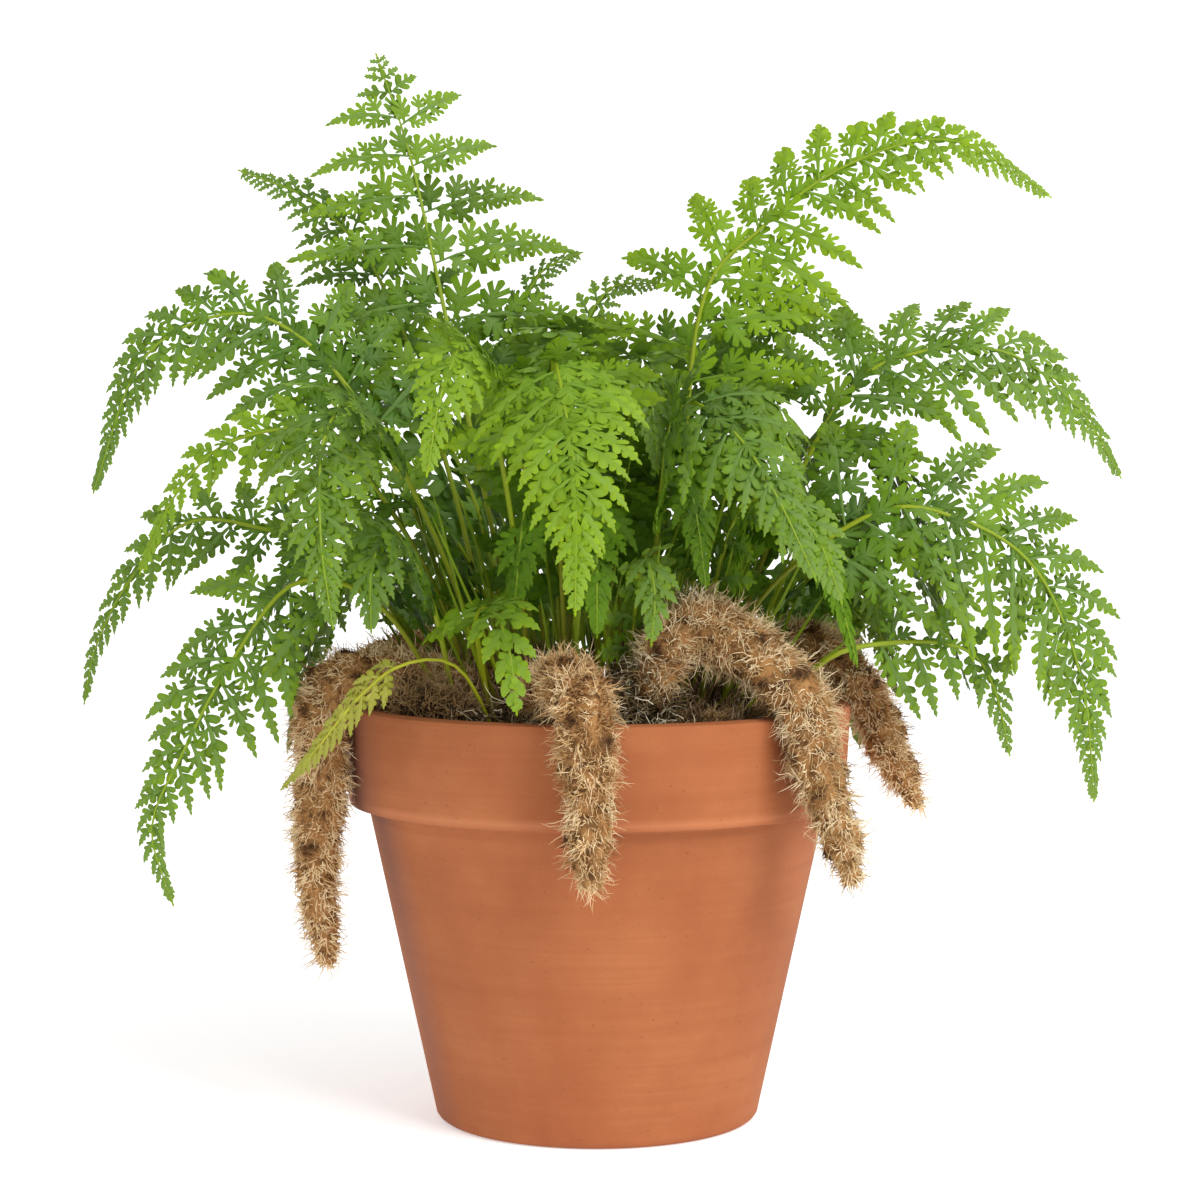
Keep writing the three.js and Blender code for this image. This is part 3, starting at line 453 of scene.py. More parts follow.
painted(tree, shader, bark_colour, 0.9)
raised(tree, shader, grain, 0.0004, 0.8)
chips = new_piece("bark_chips", np.vstack(points), np.vstack(faces), [bark], np.vstack(marks), smooth_angle=20)
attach(chips, "root")

# Dry moss and root fibres: a springy mat of thin curled strands between the rhizomes. Each strand is a closed
# three-sided thread along a wandering line that starts in the mat and ends in a point.
FIBRE_COUNT = 2000
FIBRE_THICKNESS = 0.14
MAT_DEPTH = 8
MAT_RADIUS = 69.5
HEAPED_COUNT = 1000
# Places where the mat is heaped higher, each with its width and height.
MAT_HEAPS = [(17, -58, 16, 17), (8, -56, 12, 12), (42, -50, 18, 8), (-30, -54, 18, 12), (62, -28, 16, 8)]
STUB_COUNT = 420
STUB_THICKNESS = 0.75
STUB_RADII = (52, 52)


def wandering(roots, ways, lengths, steps, curl, drop, draw):
    """The line of each strand: steps of equal length whose heading strays a little more at each one."""
    heading, here, line = ways, roots, [roots]
    for step in range(steps):
        here = here + heading * lengths / steps
        line.append(here)
        heading = unit(heading + curl * draw.normal(size=heading.shape) - np.array([0, 0, drop]))
    return np.stack(line, axis=1)


def threads(paths, thickness, tones, first=0):
    """Closed three-sided threads that end in a point, one for each row of paths. Their marks tell how far along
    the thread a point lies, and the two tones of that thread."""
    count, stops = paths.shape[:2]
    rings = stops - 1
    along = unit(np.gradient(paths, axis=1))[:, :rings]
    side = unit(np.cross(along, [0.31, 0.52, 0.79]))
    other = np.cross(along, side)
    girth = thickness * (1 - 0.5 * np.arange(rings) / stops)[None, :, None]
    corners = [paths[:, :rings] + girth * (side * math.cos(turn) + other * math.sin(turn))
               for turn in (0, 2 * math.pi / 3, 4 * math.pi / 3)]
    points = np.concatenate([np.stack(corners, axis=2).reshape(count, -1, 3), paths[:, -1:]], axis=1)
    pattern = [(0, 2, 1)]
    for level in range(0, 3 * rings - 3, 3):
        for corner in range(3):
            after = (corner + 1) % 3
            pattern += [(level + corner, level + after, level + 3 + after),
                        (level + corner, level + 3 + after, level + 3 + corner)]
    top = 3 * rings - 3
    pattern += [(top + corner, top + (corner + 1) % 3, top + 3) for corner in range(3)]
    each = 3 * rings + 1
    faces = first + each * np.arange(count)[:, None, None] + np.array(pattern)[None]
    shares = np.append(np.repeat(0.15 + 0.85 * np.arange(rings) / rings, 3), 1.0)
    marks = np.concatenate([np.broadcast_to(shares[None, :, None], (count, each, 1)),
                            np.broadcast_to(tones[:, None], (count, each, 2))], axis=2)
    return points.reshape(-1, 3), faces.reshape(-1, 3), marks.reshape(-1, 3)


def crown_places(count, radii, buried, draw):
    """Random places just under the compost, thickest together in the middle of the crown."""
    turn = draw.uniform(0, 2 * math.pi, count)
    out = draw.uniform(size=count) ** 0.6
    x, y = radii[0] * out * np.cos(turn), radii[1] * out * np.sin(turn)
    return np.column_stack([x, y, [compost_height(*place) - buried for place in zip(x, y)]])


draw = np.random.default_rng(17)
turn = draw.uniform(0, 2 * math.pi, FIBRE_COUNT)
turn = np.where((np.sin(turn) > 0) & (draw.uniform(size=FIBRE_COUNT) < 0.7), -turn, turn)
out = (0.42 + 0.53 * draw.uniform(size=FIBRE_COUNT) ** 0.6) * compost_radius(COMPOST_EDGE)
roots = np.column_stack([out * np.cos(turn), out * np.sin(turn), np.zeros(FIBRE_COUNT)])
for number in range(HEAPED_COUNT):
    x, y, width, height = MAT_HEAPS[number % len(MAT_HEAPS)]
    roots[number, :2] = (x, y) + 0.5 * width * draw.normal(size=2)
mound = np.array([0.5 + 0.5 * noise.noise((x / 11, y / 11, 3.0)) for x, y, _ in roots])
depth = MAT_DEPTH * mound
for x, y, width, height in MAT_HEAPS:
    depth += height * np.exp(-2 * ((roots[:, :2] - (x, y)) ** 2).sum(axis=1) / width ** 2)
roots[:, 2] = [compost_height(x, y) + 0.2 for x, y, _ in roots]
roots[:, 2] += depth * draw.uniform(size=FIBRE_COUNT) ** 0.7
ways = unit(draw.normal(size=(FIBRE_COUNT, 3)) * [1, 1, 0.4] + [0, 0, 0.5])
paths = wandering(roots, ways, draw.uniform(5, 12, size=(FIBRE_COUNT, 1)), 4, 0.7, 0.12, draw)
far = np.maximum(1, length_of(paths[..., :2]) / MAT_RADIUS)
paths[..., :2] /= far
tones = np.column_stack([draw.uniform(size=FIBRE_COUNT), draw.uniform(size=FIBRE_COUNT)])
mat_parts = [threads(paths, FIBRE_THICKNESS, tones)]

# Brown stubs of old stipes stand in the mat, thickest together in the middle of the crown.
roots = crown_places(STUB_COUNT, STUB_RADII, 1.0, draw)
ways = unit(np.column_stack([0.012 * roots[:, 0], 0.012 * roots[:, 1], np.ones(STUB_COUNT)])
            + 0.22 * draw.normal(size=(STUB_COUNT, 3)))
paths = wandering(roots, ways, draw.uniform(12, 34, size=(STUB_COUNT, 1)), 4, 0.12, -0.02, draw)
tones = np.column_stack([0.2 + 0.35 * draw.uniform(size=STUB_COUNT), draw.uniform(size=STUB_COUNT)])
mat_parts.append(threads(paths, STUB_THICKNESS, tones, len(mat_parts[0][0])))
points, faces, marks = (np.vstack(part) for part in zip(*mat_parts))
fibre, tree, shader = new_finish("dry_fibre")
_, tone, _ = growth_marks(tree)
shade = scaled(tree, cloudy(tree, 500, 2.0), 0.3, tone)
fibre_colour = banded(tree, shade, [(0.1, paint(30, 18, 6)), (0.5, paint(82, 57, 26)),
                                    (0.85, paint(136, 116, 72)), (1.0, paint(214, 204, 176))])
painted(tree, shader, fibre_colour, 0.8)
mat = new_piece("moss_fibres", points, faces, [fibre], marks, smooth_angle=80)
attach(mat, "root")

# The rhizomes: stems as thick as a finger, brown and scaly under a dense coat of tan hairs. Each is the CAD
# solid's own skin remeshed and roughened into knobs, with short underfur and long bent hairs rooted in it.
FUR_SKIN_STEP = 2.0
FUR_DEPTH = 0.5
FUR_LEAN = 0.55
KNOB_SIZE = 5.5
KNOB_HEIGHT = 3.0
TIP_TAPER = 12
TIP_THINNING = 2.6
SCAR_WIDTH = 1.7
SCAR_HEIGHT = 2.3
SCAR_AREA = 230
# The underfur and the long hairs: the share of the wanted number that is laid, the hairs' thickness, least and
# greatest length, number of steps, and how much they curl at each.
COATS = ((0.96, 0.25, 1.8, 3.6, 2, 0.9), (1.0, 0.14, 4.0, 8.6, 3, 0.42))
# Each way runs from the buried start to the growing tip. The numbers behind it are the hairs to a square
# millimetre, short and long, how grey and how orange the fur is, and how light it is made, which is partly the
# fur's own tone and partly painted light that brightens the rhizomes hanging in shade. The last ones are swollen
# places, each with its width and height.
RHIZOMES = {
    "rhizome_left": ([(-32, -12, 140), (-68, -23, 146), (-84, -26, 132), (-87, -28, 78), (-82, -28, 51)],
                     0.86, 0.32, 0.25, 0.5, 1.2, [((-84, -26, 104), 16, 1.2)]),
    "rhizome_left_back": ([(-36, 32, 140), (-71, 33, 147), (-94, 25, 112)], 0.6, 0.2, 0.2, 0.5, 1.0, []),
    "rhizome_front": ([(-20, -34, 138), (-8, -70, 142), (-4, -88, 130), (-2, -88, 85)],
                      0.9, 0.36, 0.3, 0.45, 1.05, [((-12, -72, 144), 10, 2.6)]),
    "rhizome_front_right": ([(17, -49, 140), (31, -49, 156), (56, -57, 142), (66, -63, 112), (76, -62, 81)],
                            0.86, 0.36, 0.5, 0.2, 1.14, [((33, -50, 155), 14, 3.4)]),
    "rhizome_right": ([(42, 21, 140), (73, 16, 147), (103, 5, 98)], 1.0, 0.32, 0.1, 0.7, 1.6, []),
    "rhizome_creeping_left": ([(-62, -34, 131), (-36, -47, 133)], 1.0, 0.7, 0.7, 0.1, 0.48, []),
    "rhizome_creeping_right": ([(26, -60, 128), (52, -38, 128)], 1.0, 0.7, 0.7, 0.1, 0.48, []),
    "rhizome_back_left": ([(-20, 44, 138), (-42, 74, 140), (-48, 84, 110), (-44, 80, 66)],
                          0.5, 0.15, 0.3, 0.5, 1.0, []),
    "rhizome_back_right": ([(20, 42, 138), (37, 76, 140), (42, 86, 98)], 0.5, 0.15, 0.3, 0.5, 1.0, []),
}


def clumped(points, scale, seed):
    """Smooth noise from 0 to 1 at each point, whose lumps are about scale millimetres across."""
    return np.array([0.5 + 0.5 * noise.noise((p[0] / scale, p[1] / scale, p[2] / scale + seed)) for p in points])


def area_of(points, faces):
    return 0.5 * length_of(np.cross(points[faces[:, 1]] - points[faces[:, 0]],
                                    points[faces[:, 2]] - points[faces[:, 0]])).sum()


def growing_way(points, way):
    """The rhizome's direction of growth at each point."""
    way = np.array(way, dtype=float)
    starts, runs = way[:-1], np.diff(way, axis=0)
    shares = np.einsum("psk,sk->ps", points[:, None] - starts, runs) / (runs ** 2).sum(axis=1)
    nearest = starts + np.clip(shares, 0, 1)[..., None] * runs
    best = np.linalg.norm(points[:, None] - nearest, axis=2).argmin(axis=1)
    return unit(runs[best])


def rooted(points, faces, normals, count, draw):
    """Random places spread evenly over a skin, with the skin's normal there."""
    corners = points[faces]
    areas = length_of(np.cross(corners[:, 1] - corners[:, 0], corners[:, 2] - corners[:, 0]))[:, 0]
    chosen = draw.choice(len(faces), size=count, p=areas / areas.sum())
    a, b = draw.uniform(size=(2, count, 1))
    over = a + b > 1
    a, b = np.where(over, 1 - a, a), np.where(over, 1 - b, b)
    weights = np.stack([1 - a - b, a, b], axis=1)
    return (corners[chosen] * weights).sum(axis=1), unit((normals[faces[chosen]] * weights).sum(axis=1))


def fur_finish(name, grey, orange, light):
    """Scaly brown skin at a hair's root, tan hairs in warm and cool clumps, and paler tips."""
    finish, tree, shader = new_finish(name)
    share, tone, clump = growth_marks(tree)
    patch = scaled(tree, clump, 0.75, worked_out(tree, "MULTIPLY", tone, 0.35))
    # Partly painted light: the coat is lightened or darkened for each rhizome, which brightens the ones that hang
    # in shade.
    patch = worked_out(tree, "MULTIPLY", patch, light)
    warm = banded(tree, patch, [(0.1, paint(88, 52, 22)), (0.34, paint(178, 116, 56)),
                                (0.58, paint(210, 156, 94)), (0.85, paint(236, 204, 154))])
    cool = banded(tree, patch, [(0.1, paint(72, 54, 30)), (0.36, paint(150, 120, 74)),
                                (0.6, paint(190, 164, 114)), (0.85, paint(228, 212, 174))])
    coat = blended(tree, min(1.0, 0.15 + 0.8 * grey + 0.25 * (1 - orange)), warm, cool)
    pale = worked_out(tree, "MULTIPLY", scaled(tree, share, 0.9, -0.4), patch)
    tipped = blended(tree, pale, coat, paint(240, 222, 190))
    # The skin takes the same lightening, painted light included.
    under = worked_out(tree, "MULTIPLY", cloudy(tree, 260, 3.0), min(light, 1.15))
    skin = banded(tree, under, [(0.2, paint(40, 26, 12)), (0.42, paint(98, 66, 34)), (0.64, paint(162, 118, 70))])
    scaly = blended(tree, scaled(tree, clump, -4.0, 1.2), skin, paint(62, 36, 14))
    colour = blended(tree, scaled(tree, share, 8.0, 0.0), scaly, tipped)
    painted(tree, shader, colour, 0.75, 0.2)
    raised(tree, shader, cloudy(tree, 700, 3.0), 0.0006, 0.8)
    return finish


for number, (name, (way, short, long, grey, orange, light, swollen)) in enumerate(RHIZOMES.items()):
    draw = np.random.default_rng(100 + number)
    bare_selection()
    skin = bpy.data.objects.new(name + "_fur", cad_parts[name].data.copy())
    bpy.context.collection.objects.link(skin)
    bpy.context.view_layer.objects.active = skin
    skin.select_set(True)
    skin.data.materials.clear()
    bpy.ops.object.mode_set(mode="EDIT")
    bpy.ops.mesh.select_all(action="SELECT")
    bpy.ops.mesh.remove_doubles(threshold=1e-6)
    bpy.ops.object.mode_set(mode="OBJECT")
    remesh = skin.modifiers.new("even", "REMESH")
    remesh.mode = "VOXEL"
    remesh.voxel_size = FUR_SKIN_STEP * MM
    bpy.ops.object.modifier_apply(modifier="even")
    relax = skin.modifiers.new("relax", "SMOOTH")
    relax.iterations = 2
    bpy.ops.object.modifier_apply(modifier="relax")
    bpy.ops.object.mode_set(mode="EDIT")
    bpy.ops.mesh.select_all(action="SELECT")
    bpy.ops.mesh.quads_convert_to_tris()
    bpy.ops.object.mode_set(mode="OBJECT")
    points, faces = arrays_of(skin)
    normals = np.empty(3 * len(points), dtype=np.float32)
    skin.data.vertices.foreach_get("normal", normals)
    normals = normals.reshape(-1, 3).astype(float)
    bpy.data.objects.remove(skin)
    knobs = clumped(points, KNOB_SIZE, number)
    from_tip = length_of(points - np.array(way[-1], dtype=float))[:, 0]
    chosen = draw.choice(len(points), size=int(area_of(points, faces) / SCAR_AREA))
    scars = points[chosen[from_tip[chosen] > TIP_TAPER]]

    def scarred(places):
        """How near each place is to one of the dark scars that old fronds and scales leave, from 0 to 1."""
        apart = np.linalg.norm(places[:, None] - scars[None], axis=2).min(axis=1)
        return np.exp(-0.5 * (apart / SCAR_WIDTH) ** 2)

    lift = (knobs - 0.5) * KNOB_HEIGHT - FUR_DEPTH + SCAR_HEIGHT * scarred(points)
    lift -= TIP_THINNING * np.clip(1 - from_tip / TIP_TAPER, 0, 1)
    for place, width, height in swollen:
        lift += height * np.exp(-0.5 * ((points - np.array(place)) ** 2).sum(axis=1) / (width / 2) ** 2)
    skin_points = points + normals * lift[:, None]
    area = area_of(skin_points, faces)
    layers = [(skin_points, faces, np.column_stack([np.zeros(len(points)), knobs, 0.5 - 0.5 * scarred(points)]))]
    first = len(points)
    for wanted, (laid, thickness, low, high, steps, curl) in zip((short, long), COATS):
        count = int(laid * wanted * area)
        roots, facing = rooted(skin_points, faces, normals, count, draw)
        clump = clumped(roots, 4.5, 40 + number)
        stray = unit(draw.normal(size=(count, 3)))
        tuft = unit(np.column_stack([clumped(roots, 3.2, 60 + k) - 0.5 for k in (0, 7, 14)]))
        ways = unit(facing + FUR_LEAN * growing_way(roots, way) + 0.7 * stray + 0.5 * tuft)
        scar = scarred(roots)
        lengths = (draw.uniform(low, high, size=(count, 1)) * (0.75 + 0.5 * clump[:, None])
                   * (1 - 0.45 * scar[:, None]))
        tones = np.column_stack([draw.uniform(size=count) * (1 - scar),
                                 np.clip((clump - 0.5) * 1.5 + 0.55 - 0.8 * scar, 0, 1)])
        paths = wandering(roots - 0.3 * facing, ways, lengths, steps, curl, 0.1, draw)
        layers.append(threads(paths, thickness, tones, first))
        first += len(layers[-1][0])
    points, faces, marks = (np.vstack(part) for part in zip(*layers))
    fur = new_piece(name + "_fur", points, faces, [fur_finish(name + "_fur", grey, orange, light)], marks,
                    smooth_angle=80)
    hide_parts(name)
    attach(fur, "root")

# The fronds: a wiry stipe that runs on as the rachis, with pinnae on both sides that are cut into pinnules and
# those into blunt fingers. Five pinnules are cut from discs; every pinna is laid from bent copies of them.
STIPE_RADIUS = 0.82
RACHIS_TIP_RADIUS = 0.22
ROOT_DEPTH = 7
STIPE_STEP = 44
SOCKET_LENGTH = 30
RAIL_STEPS = 160
STATIONS = 8
CROWDING = 1.7
SPLAY_FALL = 28
REST_BEND = -4
SAG = 0.18
TIP_CLOSING = 14
BEND_TRIES = (0, 14, -14, 28, -28, 42, -42, 56, -56)
REACH_TRIES = (1, 0.8, 0.6, 0.4, 0.25)
# A pinna's rib at a few shares of its length: half the width of its green wings, and half its thickness.
RIB_STOPS = np.array([0, 0.14, 0.34, 0.56, 0.76, 0.9])
RIB_WING = np.array([0.3, 0.42, 0.7, 0.95, 0.9, 0.5])
RIB_THICKNESS = np.array([0.3, 0.28, 0.24, 0.2, 0.16, 0.1])
# Pinnules end at this share of the pinna, its point begins at the next, and the least pinnule is 1.1 mm long.
LAST_PINNULE = 0.87
POINT_START = 0.82
LEAST_PINNULE = 1.1
# Up to which length a pinnule is one finger or three, and from which it carries two more lobes at its foot.
ONE_FINGER = 4.6
THREE_FINGERS = 5.8
FOOT_LOBES = 8.0
LOBE_SPLAY = 52
# Fronds less coarse than this have slender pinnules that stand apart.
LACY_CUT = 1.2
STIPE_FOOT = 12
FOOT_SWELLING = 1.12


def cut_pinnule(half, heart, rise):
    """A pinnule cut from a disc: its rim is pulled to half an outline and the mirrored half, its middle is
    raised, and a lower skin is joined to it along the rim. It is one unit long, along X."""
    outline = half + [(x, -y) for x, y in reversed(half)]
    bare_selection()
    bpy.ops.mesh.primitive_circle_add(vertices=len(outline), radius=1, fill_type="TRIFAN")
    blank = bpy.context.object
    rim = [v for v in blank.data.vertices if v.co.length > 0.5]
    middle = next(v for v in blank.data.vertices if v.co.length < 0.5)
    for vertex, (x, y) in zip(rim, outline):
        vertex.co = (x, y, 0)
    middle.co = (heart, 0, rise)
    bpy.ops.object.mode_set(mode="EDIT")
    bpy.ops.mesh.select_all(action="SELECT")
    bpy.ops.mesh.duplicate()
    bpy.ops.transform.resize(value=(1, 1, -0.7), center_override=(0, 0, 0))
    bpy.ops.mesh.select_all(action="SELECT")
    bpy.ops.mesh.remove_doubles(threshold=1e-5)
    bpy.ops.mesh.select_all(action="SELECT")
    bpy.ops.mesh.normals_make_consistent(inside=False)
    bpy.ops.object.mode_set(mode="OBJECT")
    points, faces = arrays_of(blank)
    points *= MM
    bpy.data.objects.remove(blank)
    middles = np.abs(points[:, 2]) > 1e-4
    return points, faces, middles


PINNULES = {
    "finger": cut_pinnule([(0, -0.13), (0.4, -0.2), (0.8, -0.2), (0.98, -0.07)], 0.5, 0.05),
    "point": cut_pinnule([(0, -0.12), (0.2, -0.18), (0.28, -0.09), (0.48, -0.14), (0.54, -0.06), (0.75, -0.085),
                          (0.98, -0.01)], 0.35, 0.035),
    "three": cut_pinnule([(0, -0.07), (0.24, -0.09), (0.5, -0.34), (0.72, -0.31), (0.55, -0.09), (0.88, -0.13),
                          (1.0, -0.03)], 0.38, 0.05),
    "fan": cut_pinnule([(0, -0.05), (0.26, -0.06), (0.38, -0.3), (0.55, -0.38), (0.62, -0.29), (0.49, -0.09),
                        (0.76, -0.31), (0.9, -0.22), (0.66, -0.055), (0.93, -0.1), (1.0, -0.03)], 0.42, 0.045),
    "feather": cut_pinnule([(0, -0.05), (0.16, -0.07), (0.3, -0.3), (0.48, -0.31), (0.41, -0.09), (0.62, -0.27),
                            (0.77, -0.2), (0.64, -0.06), (0.88, -0.1), (1.0, -0.02)], 0.34, 0.045),
}


def rail_through(stops):
    """A smooth line through chosen points, and the distance from its start at each step."""
    stops = np.array(stops, dtype=float)
    knots = np.vstack([2 * stops[0] - stops[1], stops, 2 * stops[-1] - stops[-2]])
    last = len(stops) - 1
    line = []
    for step in range(RAIL_STEPS + 1):
        place = last * step / RAIL_STEPS
        span = min(int(place), last - 1)
        t = place - span
        a, b, c, d = knots[span:span + 4]
        line.append(0.5 * (2 * b + (c - a) * t + (2 * a - 5 * b + 4 * c - d) * t ** 2
                           + (3 * b - a - 3 * c + d) * t ** 3))
    line = np.array(line)
    return line, np.concatenate([[0], np.cumsum(length_of(np.diff(line, axis=0)))])


def points_on(rail, distances):
    line, lengths = rail
    return np.column_stack([np.interp(distances, lengths, line[:, axis]) for axis in range(3)])


def directions_on(rail, distances):
    distances = np.asarray(distances, dtype=float)
    ahead = points_on(rail, np.minimum(rail[1][-1], distances + 1))
    return unit(ahead - points_on(rail, np.maximum(0, distances - 1)))


def flattened(vector, along):
    return unit(vector - np.dot(vector, along) * along)


def sides_up(rail, distances, face):
    """Which way is up on the frond at each distance, turned as little as can be from the middle one."""
    along = directions_on(rail, distances)
    up = [None] * len(distances)
    middle = int(0.7 * len(distances))
    up[middle] = flattened(np.array(face, dtype=float), along[middle])
    for i in range(middle + 1, len(distances)):
        up[i] = flattened(up[i - 1], along[i])
    for i in range(middle - 1, -1, -1):
        up[i] = flattened(up[i + 1], along[i])
    return along, np.array(up)


def leaflets_of(row, rail, node):
    """How far each leaflet of the CAD node is bent and how long it is, told by where its tip lies."""
    length = rail[1][-1]
    blade = length - row["bare"]
    steps = max(1, round((row["bare"] - SOCKET_LENGTH) / STIPE_STEP))
    stipe = [0] + [SOCKET_LENGTH + (row["bare"] - SOCKET_LENGTH) * i / steps for i in range(steps)]
    stations = [row["bare"] + blade * (1 - (1 - i / (2 * STATIONS)) ** CROWDING) for i in range(2 * STATIONS)]
    distances = np.array(stipe + stations + [length])
    along, up = sides_up(rail, distances, row["face"])
    middle = points_on(rail, distances)
    radius = 1.25 - 0.8 * np.clip((distances - row["bare"]) / blade, 0, 1)
    corners = np.array([vertex.co for vertex in node.data.vertices]) / MM
    found = []
    for hand in (1, -1):
        for index in range(STATIONS - 1):
            near = len(stipe) + 2 * index + (0 if hand > 0 else 1)
            far = near + 2
            side = [np.cross(along[i], up[i]) for i in (near, far)]
            ends = [middle[i] + s * hand * radius[i] for i, s in zip((near, far), side)]
            gap = np.linalg.norm(ends[1] - ends[0])
            run = (ends[1] - ends[0]) / gap
            out = hand * (side[0] + side[1])
            out = unit(out - np.dot(out, run) * run)
            rise = np.cross(out, run) * hand
            place = (distances[near] + distances[far]) / 2
            left = (length - place) / blade
            angle = math.radians(row["splay"] - SPLAY_FALL * (1 - left))
            full = row["wide"] * left ** row["taper"]
            best = (0.05, 0, 0.0)
            for reach in REACH_TRIES:
                for bend in BEND_TRIES:
                    turn = math.radians(bend + REST_BEND)
                    bent = out * math.cos(turn) + rise * math.sin(turn)
                    rib = run * math.cos(angle) + bent * math.sin(angle)
                    tip = (ends[0] + ends[1]) / 2 + rib * full * reach - [0, 0, SAG * full * reach]
                    miss = np.sqrt(((corners - tip) ** 2).sum(axis=1).min())
                    if miss < best[0]:
                        best = (miss, bend, reach)
            found.append((hand, place, best[1], best[2]))
    return distances, up, found


class Frond:
    """What a frond is laid from: copies of the cut pinnules and its stems, gathered until it is made."""

    def __init__(self):
        self.copies = {}
        self.skins = []

    def pinnule(self, kind, base, way, flat, length, width, young, chance):
        self.copies.setdefault(kind, []).append((*base, *way, *flat, length, width, young, chance))

    def stem(self, rings, closing_points, marks, finish):
        """Rings of points, closed at both ends, with three marks for each ring."""
        count, sides = rings.shape[:2]
        points = np.vstack([rings.reshape(-1, 3), closing_points])
        ring_marks = np.vstack([np.repeat(marks, sides, axis=0), marks[0], marks[-1]])
        corner = np.arange(sides)
        after = (corner + 1) % sides
        faces = [np.column_stack([np.full(sides, count * sides), after, corner])]
        for i in range(count - 1):
            low, high = i * sides, (i + 1) * sides
            faces.append(np.column_stack([low + corner, low + after, high + after]))
            faces.append(np.column_stack([low + corner, high + after, high + corner]))
        top = (count - 1) * sides
        faces.append(np.column_stack([np.full(sides, count * sides + 1), top + corner, top + after]))
        self.skins.append((points, np.vstack(faces), ring_marks, finish))

    def laid(self):
        for kind, copies in self.copies.items():
            points, faces, middles = PINNULES[kind]
            rows = np.array(copies)
            base, way, flat = rows[:, 0:3], rows[:, 3:6], rows[:, 6:9]
            length, width, young, chance = (rows[:, i:i + 1] for i in (9, 10, 11, 12))
            across = np.cross(flat, way)
            x, y, z = (points[None, :, i] for i in range(3))
            fall = 0.10 * x ** 2 + 0.25 * y ** 2
            grown = (base[:, None] + (x * length)[..., None] * way[:, None]
                     + (y * length * width)[..., None] * across[:, None]
                     + ((z - fall) * length)[..., None] * flat[:, None])
            # Painted sheen: pinnules that face upwards take more of the pale rib colour, the more so the higher
            # their chance, in place of the sky's reflection on them.
            sheen = 0.85 * np.clip(flat[:, 2:3] - 0.25, 0, 1) * np.clip(2.2 * chance - 0.3, 0, 1)
            marks = np.stack([np.clip(young + 0.3 * x, 0, 1), np.clip(0.75 * middles[None] + sheen, 0, 1),
                              np.broadcast_to(chance, (len(rows), len(points)))], axis=-1)
            shifts = len(points) * np.arange(len(rows))[:, None, None]
            self.skins.append((grown.reshape(-1, 3), (faces[None] + shifts).reshape(-1, 3),
                               marks.reshape(-1, 3), 0))
        first, points, faces, marks, finishes = 0, [], [], [], []
        for skin_points, skin_faces, skin_marks, finish in self.skins:
            points.append(skin_points)
            faces.append(skin_faces + first)
            marks.append(skin_marks)
            finishes.append(np.full(len(skin_faces), finish))
            first += len(skin_points)
        return np.vstack(points), np.vstack(faces), np.vstack(marks), np.concatenate(finishes)


